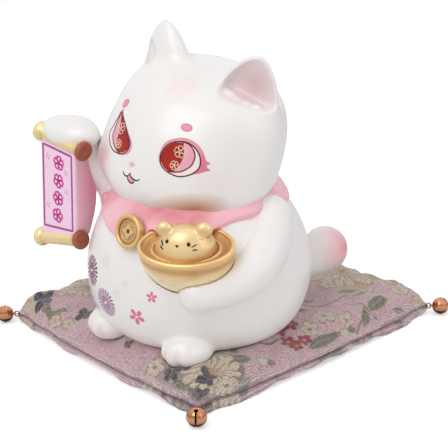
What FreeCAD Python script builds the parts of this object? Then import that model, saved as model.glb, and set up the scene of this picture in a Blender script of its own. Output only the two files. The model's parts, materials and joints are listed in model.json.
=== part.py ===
"""Beckoning cat figurine: a hollow glazed cat with a scroll and a gold ingot, on a square
brocade cushion with a jingle bell at each corner.

Frame: origin at the centre of the cushion's underside, on the table. +Z is up, the cat's
front faces -Y and its left side is toward +X. Lengths are millimetres, angles degrees.
"""
import FreeCAD
import Part

import math
import os

from FreeCAD import Matrix, Placement, Rotation, Vector

# ---------------------------------------------------------------- driving dimensions
# cushion
cushion_half_width = 82.0
cushion_half_depth = 91.0
seam_height = 4.8
cushion_rise = 12.2
cushion_drop = 6.3
cushion_seat_height = 14.7
cushion_seat_radius = 64.0
cushion_squareness = 14.0
cushion_side_bulge = 0.06
cloth_thickness = 0.9
cushion_grid = 17

# where the cat stands on the cushion
seat_gap = 0.3
cat_offset_x = 22.0
cat_offset_y = -34.0
cat_turn = 6.0

# body shell: radius, height
body_profile = [(38.0, 0.0), (49.5, 5.5), (58.0, 20.0), (60.5, 38.0), (55.0, 60.0), (44.0, 78.0), (33.0, 91.0)]
body_wall = 4.0
base_recess_radius = 27.0
base_recess_depth = 14.0
base_floor = 4.0
drain_radius = 11.0

# stopper in the drain hole
stopper_flange_radius = 13.5
stopper_flange_thickness = 2.0
stopper_plug_length = 7.0
stopper_grip_height = 2.5
stopper_grip_width = 3.0
stopper_slack = 0.05

# head shell
head_centre = (-4.0, -4.5, 98.0)
head_radius = 51.9
head_drop = 25.5
head_rise = 47.8
head_low_power = 1.63
head_high_power = 2.85
head_depth_ratio = 0.84
head_lean_back = 0.29
head_roll = 12.0
head_pitch = 4.0
head_turn = 2.0
head_wall = 4.0

# ears, placed in the tilted frame of the head
ear_spread = 26.5
ear_back = 9.5
ear_seat = 34.0
ear_radius = 19.0
ear_height = 31.0
ear_power = 1.6
ear_thickness_ratio = 0.52
ear_splay = 12.0
ear_facing = 12.0
ear_hollow_depth = 5.0

# limbs: x, y, z, radius along each centre line
raised_arm_line = [(-38, -8, 64, 13.0), (-47, -17, 78, 12.0), (-54, -27, 93, 10.5), (-58, -34, 106, 10.0)]
mitt_centre = (-61.5, -37.0, 108.5)
mitt_radii = (20.5, 12.0, 9.0)
mitt_tilt = 2.0
cradling_arm_line = [(42, 6, 68, 14.0), (50, -7, 58, 13.5), (52.5, -21, 49.5, 11.5), (48, -35, 44.0, 9.5),
                     (39, -46, 41.0, 8.8)]

# feet
foot_spread = 28.5
foot_forward = 43.0
foot_height = 7.5
foot_radii = (13.0, 14.5, 9.5)

# tail
tail_line = [(20, 46, 20, 9.0), (27, 58, 26, 10.0), (34, 68, 32.5, 13.3)]

# scarf
scarf_radius = 42.0
scarf_height = 76.5
scarf_section = (4.5, 6.0)
scarf_tilt = 4.0
bib_thickness = 1.8
bib_half_width = 47.0
bib_top = 79.0
bib_tip_height = 62.0
bib_tip_x = -2.0
knot_line = [(-46.0, -26.5, 74.5, 3.4), (-42.5, -31.0, 70.5, 3.9), (-37.5, -36.0, 66.0, 3.5)]

# coin
coin_centre = (1.5, -57.0, 70.0)
coin_radius = 9.0
coin_thickness = 4.5
coin_rim_width = 1.6
coin_recess = 0.8
coin_hole_half = 1.7
coin_tilt = 15.0

# ingot, on the belly at an angle from straight ahead
ingot_angle = 34.0
ingot_distance = 57.0
ingot_height = 66.0
ingot_offset = 1.5
ingot_tilt = 20.0
ingot_radii = (24.5, 16.5, 26.0)
ingot_lip_radius = 1.5
ingot_pocket_depth = 3.0
ingot_pocket_ratio = 0.86
ingot_ring_ratio = 0.74
ingot_ring_radius = 1.0
dome_radii = (14.5, 10.5, 13.0)
dome_ear_spread = 9.6
dome_ear_height = 11.0
dome_ear_radius = 4.1

# scroll: left and right ends of each rod, and the sheet between them
scroll_plane = -44.0
top_rod_ends = ((-79.0, 108.5), (-43.0, 102.0))
bottom_rod_ends = ((-86.0, 45.0), (-50.0, 50.5))
rod_radius = 4.0
rod_flare_radius = 5.3
rod_flare_length = 5.0
rod_cap_recess = 0.6
rod_cap_edge = 0.7
sheet_top = ((-75.8, 106.5), (-47.8, 102.0))
sheet_bottom = ((-80.8, 47.0), (-51.8, 51.0))
sheet_front = -46.5
sheet_neck_depth = 8.5
sheet_belly_depth = 16.0
sheet_belly_height = 70.0

# bells, one beyond each corner of the cushion; distances run outward along the diagonal
bell_radius = 5.0
bell_wall = 0.6
bell_slit_width = 1.2
bell_slit_end_radius = 1.1
bell_slit_end_angle = 25.0
bell_band_radius = 5.25
bell_band_height = 0.9
pellet_radius = 1.5
pellet_gap = 0.15
tab_reach = 0.4
tab_tip_radius = 1.4
tab_root = 9.0
tab_half_width = 3.0
tab_thickness = 0.8
tab_hole_radius = 0.75
thread_loop_radius = 1.6
thread_radius = 0.35
eyelet_loop_radius = 1.1
eyelet_wire_radius = 0.3
eyelet_overlap = 0.5

# ---------------------------------------------------------------- derived values
cat_base_height = cushion_seat_height + seat_gap
cat_placement = Placement(
    Vector(cat_offset_x, cat_offset_y, cat_base_height), Rotation(Vector(0, 0, 1), cat_turn))
bell_centre_reach = tab_reach + 2 * thread_loop_radius + eyelet_loop_radius + bell_radius - eyelet_overlap
corners = {
    "front_right": (-1, -1),
    "front_left": (1, -1),
    "back_left": (1, 1),
    "back_right": (-1, 1),
}
BIG = 400.0
dome_angles = (35, 62, 82)
head_upper_angles = (0, 16, 34, 52, 68, 80, 87)
head_lower_angles = (18, 38, 58, 74, 84)
ear_angles = (0, 18, 36, 54, 70, 82)


# ---------------------------------------------------------------- helpers
def export(shape, name):
    """Write one node as a STEP file in the row frame."""
    if not shape.isValid():
        shape.fix(1e-4, 1e-5, 1e-3)
    shape.exportStep(os.path.join("parts", name + ".step"))


def on_cat(shape):
    """Move a shape from the cat's own frame to where the cat stands."""
    moved = shape.copy()
    moved.Placement = cat_placement.multiply(moved.Placement)
    return moved


def solid_of(shape):
    """The largest solid of a boolean's result."""
    return max(shape.Solids, key=lambda item: item.Volume)


def affine(scale=(1, 1, 1), lean=0.0):
    """Scale along each axis, then lean along Y by a share of the height."""
    return Matrix(
        scale[0], 0, 0, 0,
        0, scale[1], lean, 0,
        0, 0, scale[2], 0,
        0, 0, 0, 1)


def turned(origin, roll=0.0, pitch=0.0, turn=0.0):
    """A placement: pitch about X, then roll about Y, then turn about Z, at an origin."""
    rotation = Rotation(Vector(0, 0, 1), turn)
    rotation = rotation.multiply(Rotation(Vector(0, 1, 0), roll))
    rotation = rotation.multiply(Rotation(Vector(1, 0, 0), pitch))
    return Placement(Vector(*origin), rotation)


def placed(shape, placement):
    """A copy of a shape put into a placement."""
    moved = shape.copy()
    moved.Placement = placement.multiply(moved.Placement)
    return moved


def spline(points, start=None, end=None):
    """A smooth edge through (radius, height) points in the XZ plane."""
    curve = Part.BSplineCurve()
    nodes = [Vector(r, 0, z) for r, z in points]
    if start and end:
        curve.interpolate(Points=nodes, InitialTangent=Vector(start[0], 0, start[1]),
                          FinalTangent=Vector(end[0], 0, end[1]))
    else:
        curve.interpolate(Points=nodes)
    return curve.toShape()


def revolved(edges):
    """Turn a closed outline in the XZ plane, one side on the Z axis, into a solid."""
    face = Part.Face(Part.Wire(edges))
    return face.revolve(Vector(0, 0, 0), Vector(0, 0, 1), 360)


def line(a, b):
    """A straight edge between two (radius, height) points in the XZ plane."""
    return Part.makeLine(Vector(a[0], 0, a[1]), Vector(b[0], 0, b[1]))


def arc(a, middle, b):
    """A circular edge through three (radius, height) points in the XZ plane."""
    points = [Vector(r, 0, z) for r, z in (a, middle, b)]
    return Part.Arc(*points).toShape()


def ellipsoid(centre, radii, roll=0.0):
    """A solid ellipsoid with its Y-axis roll in the cat's frame."""
    ball = Part.makeSphere(1.0).transformGeometry(affine(radii))
    return placed(ball, turned(centre, roll=roll))


def limb(stations):
    """A smooth round limb through (x, y, z, radius) stations, with domed ends."""
    points = [Vector(x, y, z) for x, y, z, _ in stations]
    radii = [station[3] for station in stations]
    count = len(points)
    rings = []
    for index, point in enumerate(points):
        before = points[max(index - 1, 0)]
        after = points[min(index + 1, count - 1)]
        along = (after - before).normalize()
        ring = [(point, along, radii[index])]
        if index in (0, count - 1):
            way = -1 if index == 0 else 1
            for angle in dome_angles:
                reach = radii[index] * math.sin(math.radians(angle)) * way
                ring.append((point + along * reach, along, radii[index] * math.cos(math.radians(angle))))
        rings += ring[::-1] if index == 0 else ring
    wires = [Part.Wire(Part.Edge(Part.Circle(centre, along, radius))) for centre, along, radius in rings]
    return solid_of(Part.makeLoft(wires, True))


def box_between(low, high):
    """A box from its lowest to its highest corner."""
    size = [b - a for a, b in zip(low, high)]
    return Part.makeBox(size[0], size[1], size[2], Vector(*low))


# ---------------------------------------------------------------- cushion
def fullness(share):
    """Height of the stuffed section at a share of the half size, 1 in the middle."""
    return math.sqrt(max(0.0, 1.0 - abs(share) ** cushion_squareness))


def bulged(share):
    """How far a side stands out at a share of its half length, 1 at the corners."""
    return 1.0 + cushion_side_bulge * (1.0 - share * share)


def pillow_skin(half_x, half_y, rise):
    """One curved side of the cushion, from its seam up to a rise, or down to a drop."""
    steps = [math.sin(math.pi * (index / (cushion_grid - 1) - 0.5)) for index in range(cushion_grid)]
    rows = []
    for u in steps:
        rows.append([
            Vector(half_x * u * bulged(v), half_y * v * bulged(u), seam_height + rise * fullness(u) * fullness(v))
            for v in steps
        ])
    knots = list(range(cushion_grid - 2))
    repeats = [4] + [1] * (cushion_grid - 4) + [4]
    surface = Part.BSplineSurface()
    surface.buildFromPolesMultsKnots(rows, repeats, repeats, knots, knots, False, False, 3, 3)
    return surface.toShape()


def pillow(inset):
    """The stuffed cushion, a cloth thickness or so inside its outer skin."""
    half_x = cushion_half_width - inset
    half_y = cushion_half_depth - inset
    top = pillow_skin(half_x, half_y, cushion_rise - inset)
    bottom = pillow_skin(half_x, half_y, inset - cushion_drop)
    shell = Part.makeShell([top, bottom])
    shell.sewShape()
    solid = Part.makeSolid(Part.makeShell(shell.Faces))
    if solid.Volume < 0:
        solid.reverse()
    slab = box_between((-BIG, -BIG, inset), (BIG, BIG, BIG))
    seat_floor = Vector(cat_offset_x, cat_offset_y, cushion_seat_height - inset)
    seat = Part.makeCylinder(cushion_seat_radius + inset, BIG, seat_floor)
    return solid_of(solid.common(slab).cut(seat))


def diagonal(side):
    """Outward direction at a corner of the cushion, level with the table."""
    return Vector(side[0], side[1], 0).normalize()


def corner_frame(side):
    """Origin at the corner's tip at the bell's height, X outward, Z up."""
    tip = Vector(side[0] * cushion_half_width, side[1] * cushion_half_depth, bell_band_radius)
    angle = math.degrees(math.atan2(side[1], side[0]))
    return Placement(tip, Rotation(Vector(0, 0, 1), angle))


def corner_tab(side):
    """A flat tab sewn in on top of the seam, with a round tip and an eyelet hole for the thread."""
    low = seam_height - bell_band_radius
    high = low + tab_thickness
    root = box_between((-tab_root, -tab_half_width, low), (-tab_thickness, tab_half_width, high))
    neck = box_between((-tab_thickness - tab_tip_radius, -tab_tip_radius, low), (tab_reach, tab_tip_radius, high))
    tip = Part.makeCylinder(tab_tip_radius, tab_thickness, Vector(tab_reach, 0, low))
    hole = Part.makeCylinder(tab_hole_radius, 4 * tab_thickness, Vector(tab_reach, 0, 4 * low))
    tab = root.fuse([neck, tip]).cut(hole).removeSplitter()
    return placed(tab, corner_frame(side))


def make_cushion():
    """Top cloth, bottom cloth, filling and the four corner tabs."""
    outer = pillow(0.0)
    inner = pillow(cloth_thickness)
    tabs = [corner_tab(side) for side in corners.values()]
    skin = outer.cut(inner)
    upper = box_between((-BIG, -BIG, seam_height), (BIG, BIG, BIG))
    lower = box_between((-BIG, -BIG, -BIG), (BIG, BIG, seam_height))
    export(solid_of(skin.common(upper).cut(tabs)), "cushion_top_panel")
    export(solid_of(skin.common(lower)), "cushion_bottom_panel")
    export(solid_of(inner.cut(tabs)), "cushion_filling")
    export(Part.makeCompound([solid_of(tab) for tab in tabs]), "corner_tabs")


# ---------------------------------------------------------------- bells
def thread_loop():
    """A ring of thread standing on edge through the tab's hole."""
    centre = Vector(tab_reach + thread_loop_radius, 0, 0)
    return Part.makeTorus(thread_loop_radius, thread_radius, centre, Vector(0, 1, 0))


def bell_shell():
    """A hollow round bell with a slit away from its eyelet and a raised band."""
    inner = bell_radius - bell_wall
    half = bell_band_height / 2
    edge = bell_band_height * 0.2
    shoulder = math.sqrt(bell_radius ** 2 - half ** 2)
    corner = math.sqrt(0.5)
    outline = [
        line((0, -bell_radius), (0, -inner)), arc((0, -inner), (inner, 0), (0, inner)),
        line((0, inner), (0, bell_radius)),
        arc((0, bell_radius), (bell_radius * corner, bell_radius * corner), (shoulder, half)),
        line((shoulder, half), (bell_band_radius, half - edge)),
        line((bell_band_radius, half - edge), (bell_band_radius, edge - half)),
        line((bell_band_radius, edge - half), (shoulder, -half)),
        arc((shoulder, -half), (bell_radius * corner, -bell_radius * corner), (0, -bell_radius))]
    axis_outward = Rotation(Vector(0, 1, 0), 90).multiply(Rotation(Vector(0, 0, 1), 45))
    centre = Vector(bell_centre_reach, 0, 0)
    shell = placed(revolved(outline), Placement(centre, axis_outward))
    eyelet = Part.makeTorus(eyelet_loop_radius, eyelet_wire_radius)
    eyelet_seat = Placement(Vector(tab_reach + 2 * thread_loop_radius, 0, 0), Rotation(Vector(0, 0, 1), 90))
    eyelet = placed(eyelet, eyelet_seat).cut(Part.makeSphere(bell_radius - bell_wall / 2, centre))
    slit_start = bell_centre_reach + bell_radius * math.sin(math.radians(bell_slit_end_angle))
    cuts = [box_between((slit_start, -bell_slit_width / 2, -BIG), (BIG, bell_slit_width / 2, BIG))]
    for end in (-1, 1):
        angle = math.radians(bell_slit_end_angle)
        direction = Vector(math.sin(angle), 0, end * math.cos(angle))
        cuts.append(Part.makeCylinder(bell_slit_end_radius, bell_radius * 1.3, centre, direction))
    return solid_of(shell.fuse(solid_of(eyelet)).cut(cuts))


def bell_pellet():
    """The loose ball inside a bell, lying at the bottom of its cavity."""
    drop = bell_radius - bell_wall - pellet_gap - pellet_radius
    return Part.makeSphere(pellet_radius, Vector(bell_centre_reach, 0, -drop))


def make_bells():
    """Thread loop, bell and pellet at each corner."""
    for name, side in corners.items():
        frame = corner_frame(side)
        export(placed(thread_loop(), frame), "thread_loop_" + name)
        export(placed(bell_shell(), frame), "bell_shell_" + name)
        export(placed(bell_pellet(), frame), "bell_pellet_" + name)


# ---------------------------------------------------------------- body
def inset_points(points, inset):
    """Profile points moved inward by a wall, square to the profile."""
    moved = []
    for index, (r, z) in enumerate(points):
        before = points[max(index - 1, 0)]
        after = points[min(index + 1, len(points) - 1)]
        along = Vector(after[0] - before[0], after[1] - before[1], 0).normalize()
        moved.append((r - inset * along.y, z + inset * along.x))
    return moved


def body_outer():
    """The outside of the body as one solid, flat on top at the neck."""
    low = body_profile[0]
    high = body_profile[-1]
    return revolved([
        line((0, low[1]), low),
        spline(body_profile),
        line(high, (0, high[1])),
        line((0, high[1]), (0, low[1])),
    ])


def body_cavity():
    """The hollow of the body, open through the neck into the head."""
    points = inset_points(body_profile, body_wall)
    floor = base_recess_depth + base_floor
    points = [(points[1][0] - body_wall, body_wall + 2.5)] + points[2:-1]
    top_radius = body_profile[-1][0] - body_wall
    top = body_profile[-1][1] + body_wall
    low = points[0]
    rim = (base_recess_radius + base_floor, low[1])
    return revolved([
        line((0, floor), (base_recess_radius, floor)),
        line((base_recess_radius, floor), rim),
        line(rim, low),
        spline(points + [(top_radius, top)]),
        line((top_radius, top), (0, top)),
        line((0, top), (0, floor)),
    ])


def make_body(outer):
    """Hollow body with a recess under its base and a drain hole through the floor."""
    recess = Part.makeCone(base_recess_radius, drain_radius + body_wall * 2, base_recess_depth)
    drain = Part.makeCylinder(drain_radius, BIG / 4)
    shell = outer.cut([body_cavity(), recess, drain])
    return solid_of(shell)


def base_stopper():
    """A soft plug: grip below, flange under the floor, hollow plug above it."""
    floor = base_recess_depth
    grip_low = floor - stopper_flange_thickness - stopper_grip_height
    plug_radius = drain_radius - stopper_slack
    flange = Part.makeCylinder(stopper_flange_radius, stopper_flange_thickness,
                               Vector(0, 0, floor - stopper_flange_thickness))
    plug = Part.makeCylinder(plug_radius, stopper_plug_length, Vector(0, 0, floor))
    bore = Part.makeCylinder(plug_radius - 2 * stopper_flange_thickness, stopper_plug_length,
                             Vector(0, 0, floor))
    grip = box_between((-plug_radius + 2, -stopper_grip_width / 2, grip_low),
                       (plug_radius - 2, stopper_grip_width / 2, floor - stopper_flange_thickness))
    return solid_of(flange.fuse([plug, grip]).cut(bore).removeSplitter())


# ---------------------------------------------------------------- head
head_placement = turned(head_centre, roll=head_roll, pitch=head_pitch, turn=head_turn)


def superellipse(radius, height, power, angles):
    """Rings from the widest one toward a pole: (r/radius)^power + (z/height)^power = 1."""
    rings = []
    for angle in angles:
        share = math.radians(angle)
        rings.append((radius * math.cos(share) ** (2 / power), height * math.sin(share) ** (2 / power)))
    return rings


def oval_ring(radius, depth_ratio, centre):
    """A level oval wire round a centre."""
    return Part.Wire(Part.Edge(Part.Ellipse(
        centre + Vector(radius, 0, 0), centre + Vector(0, radius * depth_ratio, 0), centre)))


def head_solid(inset):
    """The head's rounded shape, a wall or so inside its outside."""
    radius = head_radius - inset
    upper = superellipse(radius, head_rise - inset, head_high_power, head_upper_angles)
    lower = superellipse(radius, inset - head_drop, head_low_power, head_lower_angles)
    rings = [oval_ring(r, head_depth_ratio, Vector(0, head_lean_back * z, z)) for r, z in lower[::-1] + upper]
    return placed(Part.makeLoft(rings, True), head_placement)


def ear(side):
    """A rounded triangular ear with a hollowed front, in the head's frame."""
    upper = superellipse(ear_radius, ear_height, ear_power, ear_angles)
    rings = [oval_ring(ear_radius, ear_thickness_ratio, Vector(0, 0, -ear_radius))]
    rings += [oval_ring(r, ear_thickness_ratio, Vector(0, 0, z)) for r, z in upper]
    cone = Part.makeLoft(rings, True)
    front = -ear_radius * ear_thickness_ratio
    scoop_radii = (ear_radius * 0.78, ear_hollow_depth * 1.35, ear_height * 0.74)
    scoop = Part.makeSphere(1.0).transformGeometry(affine(scoop_radii))
    scoop.translate(Vector(0, front - scoop_radii[1] + ear_hollow_depth, ear_height * 0.14))
    local = turned((side * ear_spread, ear_back, ear_seat), roll=side * ear_splay, turn=side * ear_facing)
    return placed(cone.cut(scoop), head_placement.multiply(local))


def make_head(outer, body):
    """Hollow head, cut away where the neck of the body enters it."""
    return solid_of(outer.cut([head_solid(head_wall), body]))


# ---------------------------------------------------------------- limbs, feet and tail
def raised_arm_solid():
    """Upper arm, forearm and the paw folded over the scroll's upper rod."""
    mitt = ellipsoid(mitt_centre, mitt_radii, mitt_tilt)
    return solid_of(limb(raised_arm_line).fuse(mitt))


def foot_solid(side):
    """One rounded hind paw, flat underneath."""
    paw = ellipsoid((side * foot_spread, -foot_forward, foot_height), foot_radii)
    return solid_of(paw.common(box_between((-BIG, -BIG, 0), (BIG, BIG, BIG))))


# ---------------------------------------------------------------- scarf and coin
def scarf_band_solid():
    """The rolled band round the neck."""
    ring = Part.Face(Part.Wire(Part.Edge(Part.Ellipse(
        Vector(scarf_radius, 0, scarf_section[1]),
        Vector(scarf_radius + scarf_section[0], 0, 0),
        Vector(scarf_radius, 0, 0)))))
    ring = ring.revolve(Vector(0, 0, 0), Vector(0, 0, 1), 360)
    return placed(ring, turned((0, 0, scarf_height), roll=scarf_tilt))


def bib_solid(body):
    """A thin pointed bib that follows the chest."""
    layer = body_outer_grown(bib_thickness).cut(body)
    outline = Part.makePolygon([
        Vector(-bib_half_width, 0, bib_top),
        Vector(-bib_half_width * 0.55, 0, bib_tip_height + 4),
        Vector(bib_tip_x, 0, bib_tip_height),
        Vector(bib_half_width * 0.75, 0, bib_tip_height + 9),
        Vector(bib_half_width, 0, bib_top - 1),
        Vector(bib_half_width, 0, bib_top),
        Vector(-bib_half_width, 0, bib_top),
    ])
    prism = Part.Face(outline).extrude(Vector(0, -BIG / 2, 0))
    return solid_of(layer.common(prism))


def body_outer_grown(extra):
    """The body's outside, thicker all round by an extra layer."""
    points = inset_points(body_profile, -extra)
    low = points[0]
    high = points[-1]
    return revolved([
        line((0, low[1]), low),
        spline(points),
        line(high, (0, high[1])),
        line((0, high[1]), (0, low[1])),
    ])


def coin_solid():
    """A round coin with a raised rim and a square hole, its face toward -Y."""
    disc = Part.makeCylinder(coin_radius, coin_thickness, Vector(0, 0, -coin_thickness))
    disc = disc.makeFillet(coin_rim_width * 0.4, [disc.Edges[0]])
    recess = Part.makeCylinder(coin_radius - coin_rim_width, coin_recess, Vector(0, 0, -coin_recess))
    hole = box_between((-coin_hole_half, -coin_hole_half, -2.5 * coin_recess), (coin_hole_half, coin_hole_half, 0))
    facing = Rotation(Vector(1, 0, 0), 90 - coin_tilt)
    return placed(disc.cut([recess, hole]), Placement(Vector(*coin_centre), facing))


# ---------------------------------------------------------------- ingot
def ingot_frame():
    """Origin at the middle of the rim, X along it to the cat's left, Z out of the bowl."""
    angle = math.radians(ingot_angle)
    x = ingot_distance * math.sin(angle) + ingot_offset * math.cos(angle)
    y = -ingot_distance * math.cos(angle) + ingot_offset * math.sin(angle)
    return turned((x, y, ingot_height), pitch=ingot_tilt, turn=ingot_angle)


def ingot_bowl_solid():
    """The boat-shaped bowl with its rounded lip, sunk top and inner ring."""
    radius = ingot_radii[0]
    stretch = ingot_radii[2]
    lip = ingot_lip_radius
    pocket = radius * ingot_pocket_ratio
    floor = -ingot_pocket_depth
    ring = radius * ingot_ring_ratio
    bead = ingot_ring_radius
    below = [(radius * math.cos(math.radians(a)), -stretch * math.sin(math.radians(a))) for a in range(8, 90, 16)]
    lip_arc = Part.Arc(Vector(pocket, 0, 0), Vector((pocket + radius) / 2, 0, lip), Vector(radius, 0, 0)).toShape()
    bead_arc = Part.Arc(Vector(ring - bead, 0, floor), Vector(ring, 0, floor + bead),
                        Vector(ring + bead, 0, floor)).toShape()
    shape = revolved([
        line((0, floor), (ring - bead, floor)),
        bead_arc,
        line((ring + bead, floor), (pocket, floor)),
        line((pocket, floor), (pocket, 0)),
        lip_arc,
        spline([(radius, 0)] + below + [(0, -stretch)], (0, -1), (-1, 0)),
        line((0, -stretch), (0, floor)),
    ])
    return shape.transformGeometry(affine((1, ingot_radii[1] / radius, 1)))


def ingot_cat_solid():
    """A cat's face: a dome with two round ears, standing in the bowl."""
    dome = Part.makeSphere(1.0).transformGeometry(affine(dome_radii))
    ears = [Part.makeSphere(dome_ear_radius, Vector(side * dome_ear_spread, 0, dome_ear_height))
            for side in (-1, 1)]
    above = box_between((-BIG, -BIG, -ingot_pocket_depth), (BIG, BIG, BIG))
    return solid_of(dome.fuse(ears).common(above))


# ---------------------------------------------------------------- scroll
def rod_frame(ends):
    """Origin at a rod's left end, Z along the rod."""
    start = Vector(ends[0][0], scroll_plane, ends[0][1])
    end = Vector(ends[1][0], scroll_plane, ends[1][1])
    return Placement(start, Rotation(Vector(0, 0, 1), end - start)), (end - start).Length


def scroll_rod(ends):
    """A rod with a flared knob at each end, each with a shallow recess for its disc."""
    frame, length = rod_frame(ends)
    flare = rod_flare_radius
    outline = [(0, 0), (flare - rod_cap_edge, 0), (flare, rod_cap_edge), (flare, rod_flare_length - 1.5),
               (rod_radius, rod_flare_length), (rod_radius, length - rod_flare_length),
               (flare, length - rod_flare_length + 1.5), (flare, length - rod_cap_edge),
               (flare - rod_cap_edge, length), (0, length), (0, 0)]
    rod = revolved([line(a, b) for a, b in zip(outline, outline[1:])])
    for height in (0, length - rod_cap_recess):
        rod = rod.cut(Part.makeCylinder(flare - 2 * rod_cap_edge, rod_cap_recess, Vector(0, 0, height)))
    return placed(rod, frame)


def scroll_discs():
    """The round end discs of both rods."""
    discs = []
    for ends in (top_rod_ends, bottom_rod_ends):
        frame, length = rod_frame(ends)
        for height in (0, length - rod_cap_recess):
            disc = Part.makeCylinder(rod_flare_radius - 2 * rod_cap_edge, rod_cap_recess, Vector(0, 0, height))
            discs.append(placed(disc, frame))
    return Part.makeCompound(discs)


def scroll_sheet_solid():
    """The hanging sheet: flat in front, swelling toward the back below its middle."""
    front = Part.makePolygon([
        Vector(sheet_top[0][0], 0, sheet_top[0][1]),
        Vector(sheet_top[1][0], 0, sheet_top[1][1]),
        Vector(sheet_bottom[1][0], 0, sheet_bottom[1][1]),
        Vector(sheet_bottom[0][0], 0, sheet_bottom[0][1]),
        Vector(sheet_top[0][0], 0, sheet_top[0][1]),
    ])
    panel = Part.Face(front).extrude(Vector(0, -BIG / 2, 0))
    top = sheet_top[0][1] + 1
    bottom = sheet_bottom[0][1] - 1
    neck = sheet_front + sheet_neck_depth
    back = Part.BSplineCurve()
    back.interpolate([Vector(0, neck, top), Vector(0, sheet_front + sheet_belly_depth, sheet_belly_height),
                      Vector(0, neck, bottom)])
    side = Part.Wire([
        Part.makeLine(Vector(0, sheet_front, bottom), Vector(0, sheet_front, top)),
        Part.makeLine(Vector(0, sheet_front, top), Vector(0, neck, top)),
        back.toShape(),
        Part.makeLine(Vector(0, neck, bottom), Vector(0, sheet_front, bottom)),
    ])
    section = Part.Face(side).extrude(Vector(-BIG / 2, 0, 0))
    return solid_of(panel.common(section))


# ---------------------------------------------------------------- the cat
def make_cat():
    """Every piece of the cat, each cut by the pieces that it is luted to."""
    body = body_outer()
    head = head_solid(0.0)
    arm = raised_arm_solid()
    top_rod = scroll_rod(top_rod_ends)
    bottom_rod = scroll_rod(bottom_rod_ends)
    sheet = scroll_sheet_solid()
    band = solid_of(scarf_band_solid().cut([body, head]))
    bib = solid_of(bib_solid(body).cut([band, head]))
    knot = solid_of(limb(knot_line).cut([body, band, bib, head, arm]))
    bowl = ingot_bowl_solid()
    dome = solid_of(ingot_cat_solid().cut(bowl))
    frame = ingot_frame()
    bowl = solid_of(placed(bowl, frame).cut([body, bib, band]))
    dome = solid_of(placed(dome, frame).cut([body, bib, band, head]))
    cradle = solid_of(limb(cradling_arm_line).cut([body, head, band, bib, bowl, dome]))
    rods = [top_rod, bottom_rod]
    discs = scroll_discs()
    pieces = {
        "body_shell": make_body(body),
        "base_stopper": base_stopper(),
        "head_shell": make_head(head, body),
        "ear_left": solid_of(ear(1).cut(head)),
        "ear_right": solid_of(ear(-1).cut(head)),
        "raised_arm": solid_of(arm.cut([body, head, band, bib] + rods + discs.Solids)),
        "cradling_arm": cradle,
        "foot_left": solid_of(foot_solid(1).cut(body)),
        "foot_right": solid_of(foot_solid(-1).cut(body)),
        "tail": solid_of(limb(tail_line).cut(body)),
        "scarf_band": band,
        "scarf_bib": bib,
        "scarf_knot": knot,
        "coin_charm": solid_of(coin_solid().cut([body, bib, band])),
        "ingot_bowl": bowl,
        "ingot_cat": dome,
        "scroll_sheet": solid_of(sheet.cut(rods + [arm])),
        "scroll_top_rod": solid_of(top_rod),
        "scroll_bottom_rod": solid_of(bottom_rod.cut(body)),
        "scroll_end_discs": discs,
    }
    for name, shape in pieces.items():
        export(on_cat(shape), name)


os.makedirs("parts", exist_ok=True)
make_cushion()
make_bells()
make_cat()
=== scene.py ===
"""Beckoning cat figurine on a brocade cushion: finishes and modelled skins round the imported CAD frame."""
import bpy
import bmesh
import json
import math
import numpy as np
import openvdb
from mathutils import Matrix, Vector
from mathutils.bvhtree import BVHTree
from mathutils.geometry import delaunay_2d_cdt

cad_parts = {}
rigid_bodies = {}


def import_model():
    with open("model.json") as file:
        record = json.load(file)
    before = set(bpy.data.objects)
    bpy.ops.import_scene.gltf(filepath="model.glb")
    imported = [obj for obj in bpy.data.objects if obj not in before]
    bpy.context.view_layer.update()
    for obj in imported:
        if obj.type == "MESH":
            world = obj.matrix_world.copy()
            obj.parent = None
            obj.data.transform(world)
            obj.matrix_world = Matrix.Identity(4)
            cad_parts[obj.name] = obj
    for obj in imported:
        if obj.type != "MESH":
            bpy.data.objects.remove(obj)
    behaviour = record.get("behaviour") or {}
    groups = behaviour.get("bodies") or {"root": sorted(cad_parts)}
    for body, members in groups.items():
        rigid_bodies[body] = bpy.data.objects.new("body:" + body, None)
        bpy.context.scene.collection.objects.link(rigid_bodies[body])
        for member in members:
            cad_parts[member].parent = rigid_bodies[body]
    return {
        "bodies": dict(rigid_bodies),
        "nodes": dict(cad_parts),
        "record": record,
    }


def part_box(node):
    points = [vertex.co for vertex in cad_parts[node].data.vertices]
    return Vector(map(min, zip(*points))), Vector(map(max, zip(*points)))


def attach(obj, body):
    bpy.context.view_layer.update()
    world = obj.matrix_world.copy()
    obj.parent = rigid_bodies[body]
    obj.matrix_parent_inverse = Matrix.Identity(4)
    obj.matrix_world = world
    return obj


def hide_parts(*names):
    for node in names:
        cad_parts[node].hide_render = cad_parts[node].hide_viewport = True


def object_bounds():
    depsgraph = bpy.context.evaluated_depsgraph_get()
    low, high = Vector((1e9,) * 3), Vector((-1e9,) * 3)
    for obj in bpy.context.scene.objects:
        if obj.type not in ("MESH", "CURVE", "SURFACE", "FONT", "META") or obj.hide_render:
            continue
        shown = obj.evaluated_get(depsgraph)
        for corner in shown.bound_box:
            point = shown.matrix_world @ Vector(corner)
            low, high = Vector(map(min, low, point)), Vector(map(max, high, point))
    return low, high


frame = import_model()
cad_low, cad_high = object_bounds()

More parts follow.
